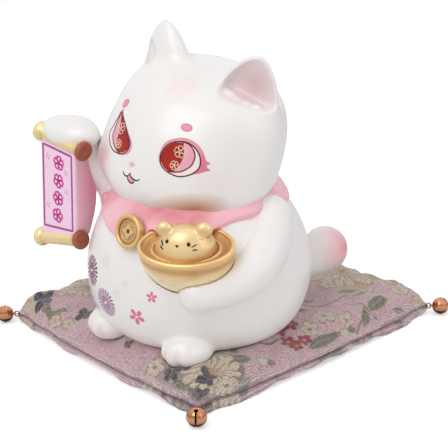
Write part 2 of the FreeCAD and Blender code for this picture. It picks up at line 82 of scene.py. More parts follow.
# ------------------------------------------------------------------ named sizes (mm, cat's own frame)
MM = 0.001
CAT_TURN = 6.0
body_profile = [(38.0, 0.0), (49.5, 5.5), (58.0, 20.0), (60.5, 38.0), (55.0, 60.0), (44.0, 78.0),
                (33.0, 91.0)]
fuller_side, fuller_by = (-0.743, -0.669), 3.0
fuller_rise, fuller_top, fuller_fall = 15.0, 92.0, 22.0
base_recess_radii = (27.0, 19.0)
base_recess_depth = 14.0
head_centre = (-4.0, -4.5, 98.0)
head_angles = dict(roll=12.0, pitch=4.0, turn=2.0)
head_radius, head_drop, head_rise = 51.9, 30.6, 47.8
head_low_power, head_high_power = 1.85, 2.85
head_depth_ratio, head_lean_back = 0.84, 0.29
temple_normal, temple_reach = (0.835, -0.458, 0.305), 47.4
ear_radius, ear_height, ear_power, ear_thickness_ratio = 19.0, 31.0, 1.6, 0.52
ear_seat = (26.5, 9.5, 34.0)
ear_splay, ear_facing = 12.0, 12.0
raised_arm_line = [(-38, -8, 64, 13.0), (-47, -17, 78, 12.0), (-54, -27, 93, 10.5), (-58, -34, 106, 10.0)]
cradling_arm_line = [
    (42, 6, 68, 14.0), (50, -7, 58, 13.5), (52.5, -21, 49.5, 11.8), (48, -35, 44.5, 10.2),
    (39.5, -46, 42, 9.6)]
tail_line = [(20, 46, 20, 9.0), (27, 58, 26, 10.0), (34, 68, 32.5, 13.3)]
foot_centre, foot_radii = (28.5, -43.0, 7.5), (13.0, 14.5, 9.5)
mitt_centre, mitt_radii, mitt_tilt = (-61.5, -37.0, 108.5), (20.5, 12.0, 9.0), 2.0

ingot_angle, ingot_distance, ingot_height, ingot_offset, ingot_tilt = 34.0, 57.0, 66.0, 1.5, 20.0
ingot_radii, dome_radii = (24.5, 16.5, 28.5), (15.3, 11.2, 13.0)
dome_ear = (9.8, 0.4, 10.8)

# ears: rim and foot of the dish, and the way the one on the cat's right is turned
ear_rim, ear_foot = 2.4, 7.4
ear_outward = (-0.80, -0.60)
# the near ear's dish: sideways shift, sill, roundness; its floor, depth and the width it deepens over
dish_shift, dish_sill, dish_power = 1.4, 2.0, 1.75
dish_floor, dish_depth, dish_slope = 0.3, 2.4, 9.0
# the far ear's dish: half width, half height, height of its middle, and the rim kept round it
far_dish_wide, far_dish_tall, far_dish_height, far_dish_rim = 6.6, 7.8, 11.5, 0.6
# soft tufts over the foot of the near ear's dish, in the ear's frame: place, radii, roll
ear_tufts = [
    ((-7.4, -6.2, 4.2), (5.0, 3.6, 4.8), -20), ((-1.8, -7.4, 3.2), (3.3, 3.2, 5.2), -6),
    ((3.2, -7.2, 3.2), (3.1, 3.0, 5.4), 6), ((8.2, -6.0, 4.4), (3.6, 3.0, 4.8), 18)]
# how softly each form melts into the next
melt = dict(raised_arm=12.0, mitt=4.0, cradling_arm=1.3, tail=3.5, foot=2.5, toe=1.5, ear=5.0, dish=1.6,
            tuft=1.4,
            temple=4.0, base=1.2, recess=1.0, ingot=0.8)

# ------------------------------------------------------------------ frames
def rotation(roll=0.0, pitch=0.0, turn=0.0):
    """Pitch about X, then roll about Y, then turn about Z, as a 3x3 array."""
    parts = [Matrix.Rotation(math.radians(a), 3, axis) for a,
             axis in ((turn, "Z"), (roll, "Y"), (pitch, "X"))]
    return np.array(parts[0] @ parts[1] @ parts[2])


stopper_low, stopper_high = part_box("base_stopper")
cat_origin = np.array([(stopper_low.x + stopper_high.x) / 2, (stopper_low.y + stopper_high.y) / 2,
                       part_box("body_shell")[0].z]) / MM
cat_rotation = rotation(turn=CAT_TURN)
head_rotation = rotation(**head_angles)


def cat_to_row(points):
    """Points in the cat's frame, mm, to the row frame, metres."""
    return (np.asarray(points, float) @ cat_rotation.T + cat_origin) * MM


ingot_turn = rotation(pitch=ingot_tilt, turn=ingot_angle)
ingot_heading = math.radians(ingot_angle)
ingot_origin = np.array([
    ingot_distance * math.sin(ingot_heading) + ingot_offset * math.cos(ingot_heading),
    -ingot_distance * math.cos(ingot_heading) + ingot_offset * math.sin(ingot_heading),
    ingot_height])


def ingot_to_cat(points):
    return points @ ingot_turn.T + ingot_origin


def head_to_cat(points):
    return np.asarray(points, float) @ head_rotation.T + np.array(head_centre)


# ------------------------------------------------------------------ curves
def spline(points, count, closed=False):
    """A natural or closed cubic spline through points, sampled evenly in its chord parameter."""
    p = np.asarray(points, float)
    if closed:
        p = np.vstack([p[-3:], p, p[:4]])
    step = np.maximum(np.linalg.norm(np.diff(p, axis=0), axis=1), 1e-6)
    t = np.concatenate([[0], np.cumsum(step)])
    n = len(p)
    a = np.eye(n)
    b = np.zeros((n, p.shape[1]))
    for i in range(1, n - 1):
        a[i, i - 1], a[i, i], a[i, i + 1] = step[i - 1], 2 * (step[i - 1] + step[i]), step[i]
        b[i] = 6 * ((p[i + 1] - p[i]) / step[i] - (p[i] - p[i - 1]) / step[i - 1])
    m = np.linalg.solve(a, b)
    start, end = (t[3], t[-4]) if closed else (t[0], t[-1])
    s = np.linspace(start, end, count, endpoint=not closed)
    i = np.clip(np.searchsorted(t, s, side="right") - 1, 0, n - 2)
    h = step[i][:, None]
    u, v = (t[i + 1] - s)[:, None], (s - t[i])[:, None]
    bend = (m[i] * u ** 3 + m[i + 1] * v ** 3) / (6 * h)
    return bend + (p[i] / h - m[i] * h / 6) * u + (p[i + 1] / h - m[i + 1] * h / 6) * v


# ------------------------------------------------------------------ distance fields
FAR = 50.0


def clamp(value):
    """Values kept between 0 and 1."""
    return np.clip(value, 0, 1)


def hump(distance, width):
    """1 at no distance, falling away smoothly on both sides."""
    return np.exp(-(distance / width) ** 2)


def radial(p):
    """How far points are from the Z axis."""
    return np.hypot(p[..., 0], p[..., 1])


def local(p, origin, turn):
    """Points in a form's own turned frame."""
    return (p - np.asarray(origin).astype(np.float32)) @ turn.astype(np.float32)


def union(a, b, blend=0.0):
    """The nearer of two distances, melted together over a blend width."""
    if blend <= 0:
        return np.minimum(a, b)
    h = clamp(0.5 + 0.5 * (b - a) / blend)
    return b * (1 - h) + a * h - blend * h * (1 - h)


def overlap(a, b, blend=0.0):
    """Only where both distances are inside."""
    return -union(-a, -b, blend)


class Field:
    """Distances on a grid, mm, that become one smooth closed mesh."""

    def __init__(self, low, high, step):
        self.low = np.array(low, np.float32)
        self.step = step
        self.counts = np.ceil((np.array(high) - self.low) / step).astype(int) + 1
        axes = [(self.low[i] + step * np.arange(self.counts[i])).astype(np.float32) for i in range(3)]
        self.points = np.stack(np.meshgrid(*axes, indexing="ij"), axis=-1)
        self.value = np.full(self.counts, FAR, np.float32)

    def window(self, box):
        if box is None:
            return (slice(None),) * 3
        low, high = (np.array(corner) for corner in box)
        first = np.clip(((low - self.low) / self.step).astype(int), 0, self.counts - 1)
        last = np.clip(np.ceil((high - self.low) / self.step).astype(int) + 1, 1, self.counts)
        return tuple(slice(a, b) for a, b in zip(first, last))

    def add(self, shape, blend=0.0, box=None):
        w = self.window(box)
        self.value[w] = union(self.value[w], shape(self.points[w]), blend)

    def cut(self, shape, blend=0.0, box=None):
        w = self.window(box)
        self.value[w] = overlap(self.value[w], -shape(self.points[w]), blend)

    def mesh(self, smooth=4):
        """Vertices, mm, and faces of the zero surface, lightly smoothed."""
        reach = 3 * self.step
        grid = openvdb.FloatGrid(reach)
        grid.copyFromArray(np.clip(self.value, -reach, reach).astype(np.float32))
        points, quads = without_crumbs(*grid.convertToQuads(isovalue=0))
        return relax(points * self.step + self.low, quads, smooth), quads


def without_crumbs(points, faces, least=60):
    """The surface without islands of a few faces, which a sampled field leaves beside a cut."""
    label = np.arange(len(points))
    while True:
        lower = label.copy()
        np.minimum.at(lower, faces.ravel(), np.repeat(label[faces].min(axis=1), faces.shape[1]))
        lower = lower[lower]
        if np.array_equal(lower, label):
            break
        label = lower
    island = label[faces[:, 0]]
    faces = faces[np.bincount(island, minlength=len(points))[island] >= least]
    used, compact = np.unique(faces, return_inverse=True)
    return points[used], compact.reshape(faces.shape)


def relax(points, faces, rounds):
    """Draws vertices to their neighbours' mean, with a pass outward after each so that nothing shrinks."""
    a, b = faces.ravel(), np.roll(faces, -1, axis=1).ravel()
    size = len(points)
    count = np.maximum(np.bincount(a, minlength=size) + np.bincount(b, minlength=size), 1)[:, None]
    for _ in range(rounds):
        for factor in (0.5, -0.52):
            total = [np.bincount(a, points[b, k], size) + np.bincount(b, points[a, k], size)
                     for k in range(3)]
            points = points + factor * (np.stack(total, axis=1) / count - points)
    return points


def ellipsoid(centre, radii, turn=np.eye(3)):
    """Near-distance to an ellipsoid with its own rotation."""
    radii = np.array(radii, np.float32)

    def shape(p):
        q = local(p, centre, turn)
        k0 = np.linalg.norm(q / radii, axis=-1)
        k1 = np.linalg.norm(q / radii ** 2, axis=-1)
        return k0 * (k0 - 1) / np.maximum(k1, 1e-6)
    return shape


def limb(stations):
    """A tapering round limb through (x, y, z, radius) stations."""
    line = spline(stations, 24).astype(np.float32)

    def shape(p):
        best = np.full(p.shape[:-1], FAR, np.float32)
        for a, b in zip(line, line[1:]):
            along = b[:3] - a[:3]
            q = p - a[:3]
            t = clamp(q @ along / float(along @ along))
            best = np.minimum(best, np.linalg.norm(q - t[..., None] * along,
                                                   axis=-1) - (a[3] + t * (b[3] - a[3])))
        return best
    return shape


def stations_box(stations, margin=6.0):
    s = np.array(stations, float)
    reach = s[:, 3:4] + margin
    return (s[:, :3] - reach).min(0), (s[:, :3] + reach).max(0)


def box_round(centre, radii, margin=5.0):
    return np.array(centre) - np.array(radii) - margin, np.array(centre) + np.array(radii) + margin


profile_curve = spline(body_profile, 200)
profile_slope = np.gradient(profile_curve[:, 0], profile_curve[:, 1])


def body_round(p, grown=0.0):
    """Distance to the turned body, a little fuller toward the raised arm."""
    z, r = p[..., 2], radial(p)
    toward = clamp((p[..., 0] * fuller_side[0] + p[..., 1] * fuller_side[1]) / np.maximum(r, 1e-3)) ** 2
    grown = grown + fuller_by * toward * clamp(z / fuller_rise) * clamp((fuller_top - z) / fuller_fall)
    radius = np.interp(z, profile_curve[:, 1], profile_curve[:, 0])
    slope = np.interp(z, profile_curve[:, 1], profile_slope)
    side = (r - radius) / np.sqrt(1 + slope ** 2) - grown
    return np.maximum(side, z - body_profile[-1][1] - grown)


def head_round(p):
    """Distance to the head: round below, fuller above, leaning back."""
    q = local(p, head_centre, head_rotation)
    z = q[..., 2]
    r = np.hypot(q[..., 0], (q[..., 1] - head_lean_back * z) / head_depth_ratio)
    up = z > 0
    power = np.where(up, head_high_power, head_low_power)
    rise = np.where(up, head_rise, head_drop)
    size = ((r / head_radius) ** power + (np.abs(z) / rise) ** power) ** (1 / power)
    reach = np.linalg.norm(q, axis=-1)
    steepness = 0.93
    return (size - 1) * np.maximum(reach, 1.0) / np.maximum(size, 1e-3) * steepness


def ear_frame(side):
    """Rotation and origin of an ear, in the cat's frame."""
    turn = rotation(roll=side * ear_splay, turn=side * ear_facing)
    return head_rotation @ turn, head_to_cat([side * ear_seat[0], ear_seat[1], ear_seat[2]])


def ear_round(side):
    turn, origin = ear_frame(side)

    def shape(p):
        q = local(p, origin, turn)
        r = np.hypot(q[..., 0], q[..., 1] / ear_thickness_ratio) / ear_radius
        up = np.maximum(q[..., 2], 0) / ear_height
        size = (r ** ear_power + up ** ear_power) ** (1 / ear_power)
        return (size - 1) * ear_radius * ear_thickness_ratio
    return shape


def ear_hollow(side):
    """The dish in the front of an ear, inside a thin rim; the far ear's is shallow and faces outward."""
    turn, origin = ear_frame(side)
    whole = ear_round(side)

    def near(p):
        q = local(p, origin, turn)
        x, y, z = q[..., 0], q[..., 1], q[..., 2]
        wide = ear_radius - ear_rim - 0.8
        r = np.abs(x - dish_shift) / wide
        up = np.maximum(z - dish_sill, 0) / (ear_height - dish_sill - ear_rim)
        edge = ((r ** dish_power + up ** dish_power) ** (1 / dish_power) - 1) * wide * 0.8
        edge = overlap(edge, ear_foot - z, 5.0)
        floor = dish_floor + dish_depth * clamp(-edge / dish_slope)
        return overlap(edge, y - floor, 2.2)

    def far(p):
        q = local(p, origin, turn)
        out = q[..., 0] * ear_outward[0] + q[..., 1] * ear_outward[1]
        across = q[..., 0] * -ear_outward[1] + q[..., 1] * ear_outward[0]
        edge = np.hypot(across / far_dish_wide, (q[..., 2] - far_dish_height) / far_dish_tall) - 1
        edge = np.maximum(edge * far_dish_wide, -out)
        return overlap(edge, -whole(p) - far_dish_rim, 2.4)
    return far if side < 0 else near


def tufts(side):
    """The soft tufts of an ear in the cat's frame: centre, radii and shape."""
    turn, origin = ear_frame(side)
    centres = [origin + turn @ np.array(place) for place, _, _ in ear_tufts]
    return [(centre, radii, ellipsoid(centre, radii, turn @ rotation(roll=roll)))
            for centre, (_, radii, roll) in zip(centres, ear_tufts)]


def head_field():
    field = Field((-66, -66, 64), (60, 60, 172), 0.8)
    field.add(head_round)
    for side in (-1, 1):
        outward = head_rotation @ np.array([side * temple_normal[0], temple_normal[1], temple_normal[2]])
        field.cut(lambda p, n=outward: temple_reach - (p - np.array(head_centre)) @ n, melt["temple"])
    for side in (-1, 1):
        window = box_round(ear_frame(side)[1], (34, 34, 36))
        field.add(ear_round(side), melt["ear"], window)
        field.cut(ear_hollow(side), melt["dish"], window)
    for centre, radii, shape in tufts(1):
        field.add(shape, melt["tuft"], box_round(centre, radii))
    return field


def toe_groove(centre, toe):
    """A soft groove down the front of a foot, between two toes."""
    share = toe * 0.31
    rest = math.sqrt(1 - share ** 2)
    stations = []
    for degrees, size in ((52, 0.4), (34, 1.2), (10, 1.75), (-14, 1.9), (-34, 1.7)):
        a = math.radians(degrees)
        stations.append((centre[0] + foot_radii[0] * share * (1 + 0.25 * math.cos(a)),
                         centre[1] - (foot_radii[1] + 0.3) * rest * math.cos(a),
                         centre[2] + (foot_radii[2] + 0.3) * rest * math.sin(a), size))
    return stations


def ingot_room(p):
    """The space the ingot's bowl takes, so the body and the scarf keep out of it."""
    q = local(p, ingot_origin, ingot_turn)
    room, open_from = 0.25, 2.2
    return overlap(ellipsoid((0, 0, 0), np.array(ingot_radii) + room)(q), q[..., 2] - open_from, 1.0)


def body_field():
    field = Field((-88, -66, -2), (68, 88, 124), 0.9)
    field.add(body_round)
    field.add(limb(raised_arm_line), melt["raised_arm"], stations_box(raised_arm_line, 15))
    field.add(ellipsoid(mitt_centre, mitt_radii, rotation(roll=mitt_tilt)), melt["mitt"],
              box_round(mitt_centre, mitt_radii))
    field.add(limb(cradling_arm_line), melt["cradling_arm"], stations_box(cradling_arm_line))
    field.add(limb(tail_line), melt["tail"], stations_box(tail_line))
    for side in (-1, 1):
        centre = (side * foot_centre[0], foot_centre[1], foot_centre[2])
        field.add(ellipsoid(centre, foot_radii), melt["foot"], box_round(centre, foot_radii))
        for toe in (-1, 1):
            groove = toe_groove(centre, toe)
            field.cut(limb(groove), melt["toe"], stations_box(groove, 5))
    field.cut(ingot_room, melt["ingot"], box_round(ingot_origin, (30, 30, 30)))
    field.cut(lambda p: p[..., 2], melt["base"])
    slope = (base_recess_radii[0] - base_recess_radii[1]) / base_recess_depth

    def recess(p):
        side = radial(p) - base_recess_radii[0] + slope * p[..., 2]
        return np.maximum(side, p[..., 2] - base_recess_depth)

    field.cut(recess, melt["recess"], ((-32, -32, -2), (32, 32, 20)))
    return field


# ------------------------------------------------------------------ meshes
def placed(name, data):
    """A new object in the scene."""
    made = bpy.data.objects.new(name, data)
    bpy.context.scene.collection.objects.link(made)
    return made


def make_mesh(name, points, faces, mat, sharp=50.0):
    """One piece of the cat: a mesh in the cat's frame put in the row frame, smooth-shaded."""
    mesh = bpy.data.meshes.new(name)
    mesh.from_pydata([tuple(v) for v in cat_to_row(points)], [], [tuple(int(i) for i in f) for f in faces])
    mesh.validate()
    bm = bmesh.new()
    bm.from_mesh(mesh)
    bmesh.ops.recalc_face_normals(bm, faces=bm.faces)
    bm.to_mesh(mesh)
    bm.free()
    mesh.shade_smooth()
    mesh.set_sharp_from_angle(angle=math.radians(sharp))
    mesh.materials.append(mat)
    piece = placed(name, mesh)
    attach(piece, "cat")
    return piece


def paint(piece, colours):
    """A colour for each vertex, read by the material."""
    layer = piece.data.attributes.new("tint", "FLOAT_COLOR", "POINT")
    data = np.ones((len(colours), 4), np.float32)
    data[:, :3] = colours
    layer.data.foreach_set("color", data.ravel())


# ------------------------------------------------------------------ materials
def linear(code):
    """A linear colour from a hex sRGB code."""
    rgb = np.array([int(code[i:i + 2], 16) for i in (0, 2, 4)]) / 255
    return np.where(rgb <= 0.04045, rgb / 12.92, ((rgb + 0.055) / 1.055) ** 2.4)


def mixed(colours, code, share):
    """Colours mixed toward a hex colour by a share for each point."""
    share = np.reshape(share, (-1, 1))
    return colours * (1 - share) + linear(code) * share


def wire(tree, node, inputs):
    """Sets a node's inputs, each to a value or to another node's output."""
    for name, value in inputs.items():
        if isinstance(value, bpy.types.NodeSocket):
            tree.links.new(value, node.inputs[name])
        else:
            node.inputs[name].default_value = value


def add(tree, kind, inputs=None, **settings):
    """A new shader node with its settings, values and links."""
    node = tree.nodes.new("ShaderNode" + kind)
    for name, value in settings.items():
        setattr(node, name, value)
    wire(tree, node, inputs or {})
    return node


def multiplied(tree, colour, factor):
    """A colour socket times another socket."""
    mix = add(tree, "Mix", data_type="RGBA", blend_type="MULTIPLY")
    wire(tree, mix, {"Factor": 1.0, "A": colour, "B": factor})
    return mix.outputs["Result"]


def source(shader, name):
    """What is linked into one of a shader's inputs."""
    return shader.inputs[name].links[0].from_socket


def material(name, code=None, roughness=0.5, metallic=0.0, coat=0.0, coat_roughness=0.1, sheen=0.0,
             grain=400.0, vary=0.04, bump=0.02, spread=0.06, specular=0.5):
    """A principled finish with fine colour, roughness and height variation in the piece's own space.
    Without a hex colour it shows the colours painted on the piece."""
    mat = bpy.data.materials.new(name)
    mat.use_nodes = True
    tree = mat.node_tree
    where = add(tree, "TexCoord").outputs["Object"]
    noise = add(tree, "TexNoise", {"Scale": grain, "Detail": 4.0, "Vector": where}).outputs["Fac"]
    if code:
        base = add(tree, "RGB").outputs[0]
        base.default_value = (*linear(code), 1)
    else:
        base = add(tree, "Attribute", attribute_name="tint").outputs["Color"]
    shade = add(tree, "MapRange", {"From Min": 0.3, "From Max": 0.7, "To Min": 1 - vary,
                                   "To Max": 1 + vary * 0.3, "Value": noise})
    rough = add(tree, "MapRange", {"To Min": max(roughness - spread, 0.02),
                                   "To Max": min(roughness + spread, 1.0), "Value": noise})
    height = add(tree, "Bump", {"Strength": 1.0, "Distance": bump * MM, "Height": noise})
    wire(tree, tree.nodes["Principled BSDF"], {
        "Base Color": multiplied(tree, base, shade.outputs["Result"]), "Roughness": rough.outputs["Result"],
        "Normal": height.outputs["Normal"], "Metallic": metallic, "Coat Weight": coat,
        "Coat Roughness": coat_roughness, "Sheen Weight": sheen, "Specular IOR Level": specular})
    return mat


white_glaze = material("white_glaze", roughness=0.30, coat=0.35, coat_roughness=0.12, grain=60, vary=0.015,
                       bump=0.03, spread=0.04)
pink_glaze = material("pink_glaze", roughness=0.32, coat=0.3, coat_roughness=0.15, grain=90, vary=0.05,
                      bump=0.03)
scroll_glaze = material("scroll_glaze", roughness=0.34, coat=0.25, coat_roughness=0.15, grain=110, vary=0.03,
                        bump=0.03)
paint_gloss = material("painted_glaze", roughness=0.36, coat=0.12, grain=500, vary=0.05, bump=0.01,
                       specular=0.25)
gold_paint = material("antique_gold", roughness=0.28, metallic=0.45, coat=0.15, coat_roughness=0.2, grain=70,
                      vary=0.05, bump=0.03)
brown_glaze = material("brown_glaze", "A8563C", 0.4, coat=0.2, grain=500, vary=0.2, bump=0.05)
rose_gold = material("rose_gold", "E3A078", 0.10, metallic=1.0, grain=300, vary=0.10, bump=0.006, spread=0.04)
steel = material("pellet_steel", "9A9A9C", 0.3, metallic=1.0, grain=500)
rubber = material("stopper_soft", "D8D8D4", 0.6, grain=900, bump=0.01)
thread = material("thread", "8E5450", 0.8, sheen=0.3, grain=2500, vary=0.25, bump=0.1)
tab_cloth = material("tab_cloth", "96606A", 0.8, sheen=0.3, grain=1800, vary=0.2, bump=0.1)
brocade_cloth = material("brocade_cloth", roughness=0.62, sheen=0.35, grain=900, vary=0.42, bump=0.16)
# finishes of the solids that are shown as they are, by their material slot
node_material = {"tab_cloth": tab_cloth, "thread": thread, "bell_brass": rose_gold, "pellet_steel": steel,
                 "stopper": rubber}

# ------------------------------------------------------------------ skins
GLAZE_WHITE = "F5F2F0"


def fading_spot(points, centre, reach, soft=1.0):
    """0 to 1 round a place, fading outward."""
    d = np.linalg.norm((points - np.array(centre)) / np.array(reach), axis=1)
    return clamp(1 - d) ** soft


def tinted(points, code, spots):
    """One colour with soft spots on it, some sprayed colour and some painted light and shade: (centre, reach,
    colour, strength, softness).
    """
    colours = np.tile(linear(code), (len(points), 1))
    for centre, reach, spot_code, strength, soft in spots:
        colours = mixed(colours, spot_code, strength * fading_spot(points, centre, reach, soft))
    return colours


head_points, head_faces = head_field().mesh()
# the last few millimetres of the ear tip are pressed down, to stay inside the solids' own height
tip_depth = 5.0
tip_from = cad_high.z / MM - cat_origin[2] - tip_depth
tip_over = np.maximum(head_points[:, 2] - tip_from, 0)
head_points[:, 2] -= tip_over * max(0.0, 1 - (tip_depth - 0.05) / tip_over.max())
body_points, body_faces = body_field().mesh()
head_skin = make_mesh("cat_head", head_points, head_faces, white_glaze)
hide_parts("head_shell", "ear_left", "ear_right")
body_skin = make_mesh("cat_body", body_points, body_faces, white_glaze)
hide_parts("body_shell", "raised_arm", "cradling_arm", "foot_left", "foot_right", "tail")


# ------------------------------------------------------------------ painted shapes laid on a skin
class Skin:
    """A finished surface, in the cat's frame, that painted shapes are laid on."""

    def __init__(self, points, faces):
        self.tree = BVHTree.FromPolygons(points.tolist(), faces.tolist())

    def drop(self, start, direction):
        """Where a point lands along a direction, and the surface normal there."""
        start, direction = Vector(start), Vector(direction)
        hit, normal, _, _ = self.tree.ray_cast(start, direction)
        if hit is None:
            hit, normal, _, _ = self.tree.find_nearest(start + direction * 20)
        return np.array(hit), np.array(normal)


class Spot:
    """A place on a skin, with an across direction and an up direction for the shapes drawn there."""

    def __init__(self, origin, normal, up=(0, 0, 1)):
        self.origin = np.array(origin, float)
        self.normal = np.array(normal, float) / np.linalg.norm(normal)
        self.across = np.cross(up, self.normal)
        self.across /= np.linalg.norm(self.across)
        self.up = np.cross(self.normal, self.across)

    def lay(self, skin, uv):
        """Flat points, mm, dropped straight onto the skin."""
        starts = self.origin + uv[:, :1] * self.across + uv[:, 1:2] * self.up + self.normal * 20
        found = [skin.drop(s, -self.normal) for s in starts]
        return np.array([f[0] for f in found]), np.array([f[1] for f in found])


def gradient(shape, point):
    steps = np.eye(3) * 0.05
    high = shape((np.array(point) + steps).astype(np.float64))
    low = shape((np.array(point) - steps).astype(np.float64))
    return (high - low) / 0.1


def head_spot(azimuth, height, shift=(0.0, 0.0)):
    """A spot on the head by its direction from the front and above the widest level, in degrees."""
    a, h = math.radians(azimuth), math.radians(height)
    power = 2 / head_high_power
    r, z = head_radius * math.cos(h) ** power, head_rise * math.sin(h) ** power
    place = head_to_cat([r * math.sin(a), -head_depth_ratio * r * math.cos(a) + head_lean_back * z, z])
    spot = Spot(place, gradient(head_round, place), head_rotation[:, 2])
    spot.origin = spot.origin + spot.across * shift[0] + spot.up * shift[1]
    return spot


def body_spot(azimuth, height):
    """A spot on the body by its direction from the front and its height."""
    a = math.radians(azimuth)
    r = float(np.interp(height, profile_curve[:, 1], profile_curve[:, 0]))
    place = np.array([r * math.sin(a), -r * math.cos(a), height])
    return Spot(place, gradient(body_round, place))


def head_tint(points):
    """White, with sprayed cheeks, painted warm shade under the chin, a pale blossom on the forehead and pink
    ears.
    """
    colours = tinted(points, GLAZE_WHITE, [
        # painted shade: warm brown under the chin
        ((28, -35, 82), (27, 17, 9.5), "C07E52", 0.95, 0.9),
        ((-31, -42, 98), (13, 15, 19), "F0AEBB", 0.85, 1.0),
        ((38, -28, 97), (15, 16, 12), "F7E0E2", 0.4, 0.9)])
    flower = head_spot(0, 66.6, (2.6, -2.6))
    flat = points - flower.origin
    u, v, w = flat @ flower.across, flat @ flower.up, flat @ flower.normal
    angle = np.arctan2(v, u) - 0.3
    petal = 11.0 * (0.6 + 0.4 * np.abs(np.cos(2.5 * angle)) ** 0.6)
    colours = mixed(colours, "FAE5E6", 0.6 * clamp((petal - np.hypot(u, v)) / 3.0) * (np.abs(w) < 9))
    exact = points.astype(np.float32)
    for side in (-1, 1):
        turn, origin = ear_frame(side)
        q = (points - origin) @ turn
        within = clamp((0.5 - ear_hollow(side)(exact)) / 1.1)
        within *= 0.3 if side < 0 else clamp((q[:, 2] - 5.0) / 2.0)
        tuft = np.minimum.reduce([shape(exact) for _, _, shape in tufts(side)])
        within *= np.clip((tuft - 0.1) / 1.2, 0.1, 1)
        heart = clamp(1.25 * fading_spot(q, (1.5, 1.0, 15.0), (15, 13, 16)))
        pink = mixed(linear("F3DADC"), "C97480", heart)
        colours = colours * (1 - within[:, None]) + pink * within[:, None]
    return colours


paint(head_skin, head_tint(head_points))
paint(body_skin, tinted(body_points, GLAZE_WHITE, [
    ((49, 72, 37), (20, 21, 21), "EC9CA8", 1.15, 0.95),
    ((-28, -56, 6), (13, 8, 7), "F6DDDD", 0.6, 0.8),
    ((28, -56, 6), (13, 8, 7), "F6DDDD", 0.6, 0.8)]))


class Layer:
    """Thin closed coats of paint gathered into one piece."""

    def __init__(self, skin):
        self.skin = skin
        self.points, self.faces, self.colours = [], [], []

    def coat(self, top, normals, faces, border, height, colour, sink=0.25):
        """Top faces, a skirt down into the skin along the border, and a floor below. colour is one hex colour
        or a colour for each point."""
        first = sum(len(p) for p in self.points)
        n = len(top)
        self.points.append(top + normals * height)
        self.points.append(top - normals * sink)
        self.faces += [[first + i for i in f] for f in faces]
        self.faces += [[first + n + i for i in reversed(f)] for f in faces]
        self.faces += [[first + a, first + n + a, first + n + b, first + b] for a, b in border]
        shades = np.tile(linear(colour), (n, 1)) if isinstance(colour, str) else colour
        self.colours += [shades, shades]

    def fill(self, spot, outline, height, colour, pitch=0.9):
        """A filled closed outline in a spot's own flat coordinates. colour may be a function of those."""
        outline = np.asarray(outline, float)
        low, high = outline.min(0), outline.max(0)
        gx, gy = np.meshgrid(np.arange(low[0], high[0], pitch), np.arange(low[1], high[1], pitch))
        inner = np.stack([gx.ravel(), gy.ravel()], 1)
        inner = inner[inside(inner, outline) & (edge_distance(inner, outline) > pitch * 0.4)]
        points = np.vstack([outline, inner])
        count = len(outline)
        edges = [(i, (i + 1) % count) for i in range(count)]
        verts, _, faces, *_ = delaunay_2d_cdt(
            [Vector(p) for p in points], edges, [list(range(count))], 1, 1e-5)
        flat = np.array([tuple(v) for v in verts])
        uses = {}
        for f in faces:
            for a, b in zip(f, list(f[1:]) + [f[0]]):
                uses[(a, b)] = uses.get((a, b), 0) + 1
        border = [(a, b) for a, b in uses if (b, a) not in uses]
        top, normals = spot.lay(self.skin, flat)
        self.coat(top, normals, faces, border, height, colour(flat) if callable(colour) else colour)

    def stroke(self, spot, line, width, height, colour, closed=False, taper=False):
        """A brush line of even or tapering width, or with a width for each point."""
        line = np.asarray(line, float)
        ahead = np.roll(line, -1, 0) if closed else np.vstack([line[1:], 2 * line[-1:] - line[-2:-1]])
        behind = np.roll(line, 1, 0) if closed else np.vstack([2 * line[:1] - line[1:2], line[:-1]])
        along = ahead - behind
        along /= np.maximum(np.linalg.norm(along, axis=1), 1e-6)[:, None]
        side = np.stack([-along[:, 1], along[:, 0]], 1)
        n = len(line)
        share = np.sin(np.linspace(0.12, math.pi - 0.12, n)) ** 0.6 if taper else np.ones(n)
        half = (width * share / 2)[:, None]
        flat = np.vstack([line + side * half, line - side * half])
        last = n if closed else n - 1
        faces = [[i, n + i, n + (i + 1) % n, (i + 1) % n] for i in range(last)]
        border = [((i + 1) % n, i) for i in range(last)] + [(n + i, n + (i + 1) % n) for i in range(last)]
        if not closed:
            border += [(0, n), (2 * n - 1, n - 1)]
        top, normals = spot.lay(self.skin, flat)
        self.coat(top, normals, faces, border, height, colour)

    def piece(self, name, slot):
        made = make_mesh(name, np.vstack(self.points), self.faces, paint_gloss, sharp=40)
        paint(made, np.vstack(self.colours))


def inside(points, outline):
    """Which points lie in a closed outline."""
    x, y = points[:, 0], points[:, 1]
    result = np.zeros(len(points), bool)
    for (ax, ay), (bx, by) in zip(outline, np.roll(outline, -1, 0)):
        crosses = (ay > y) != (by > y)
        if ay != by:
            result ^= crosses & (x < (bx - ax) * (y - ay) / (by - ay) + ax)
    return result


def line_distance(points, line):
    """Distance of points from a broken line."""
    best = np.full(len(points), FAR)
    for a, b in zip(line, line[1:]):
        d = b - a
        t = clamp(((points - a) @ d) / max(float(d @ d), 1e-9))
        best = np.minimum(best, np.linalg.norm(points - a - t[:, None] * d, axis=1))
    return best


def edge_distance(points, outline):
    return line_distance(points, np.vstack([outline, outline[:1]]))


def mirrored(points, side):
    return np.array([(side * u, v) for u, v in points], float)


def ring(across, up, count):
    """An open ring of points round an ellipse."""
    angles = np.linspace(0, math.tau, count, endpoint=False)
    return np.array([(across * math.cos(t), up * math.sin(t)) for t in angles])


def petal_ring(centre, radius, count=5, waist=0.32, notch=0.0, turn=0.0, samples=18):
    """Closed outlines of the petals of a blossom."""
    petals = []
    for k in range(count):
        a = turn + math.tau * k / count
        outline = []
        for t in np.linspace(0, 1, samples, endpoint=False):
            s = math.tau * t
            along = radius * (0.56 - 0.44 * math.cos(s))
            if notch:
                along -= notch * radius * math.exp(-((t - 0.5) / 0.06) ** 2)
            across = radius * waist * math.sin(s) * (0.75 + 0.25 * (along / radius))
            outline.append((centre[0] + (along * math.cos(a) - across * math.sin(a)),
                            centre[1] + along * math.sin(a) + across * math.cos(a)))
        petals.append(np.array(outline))
    return petals


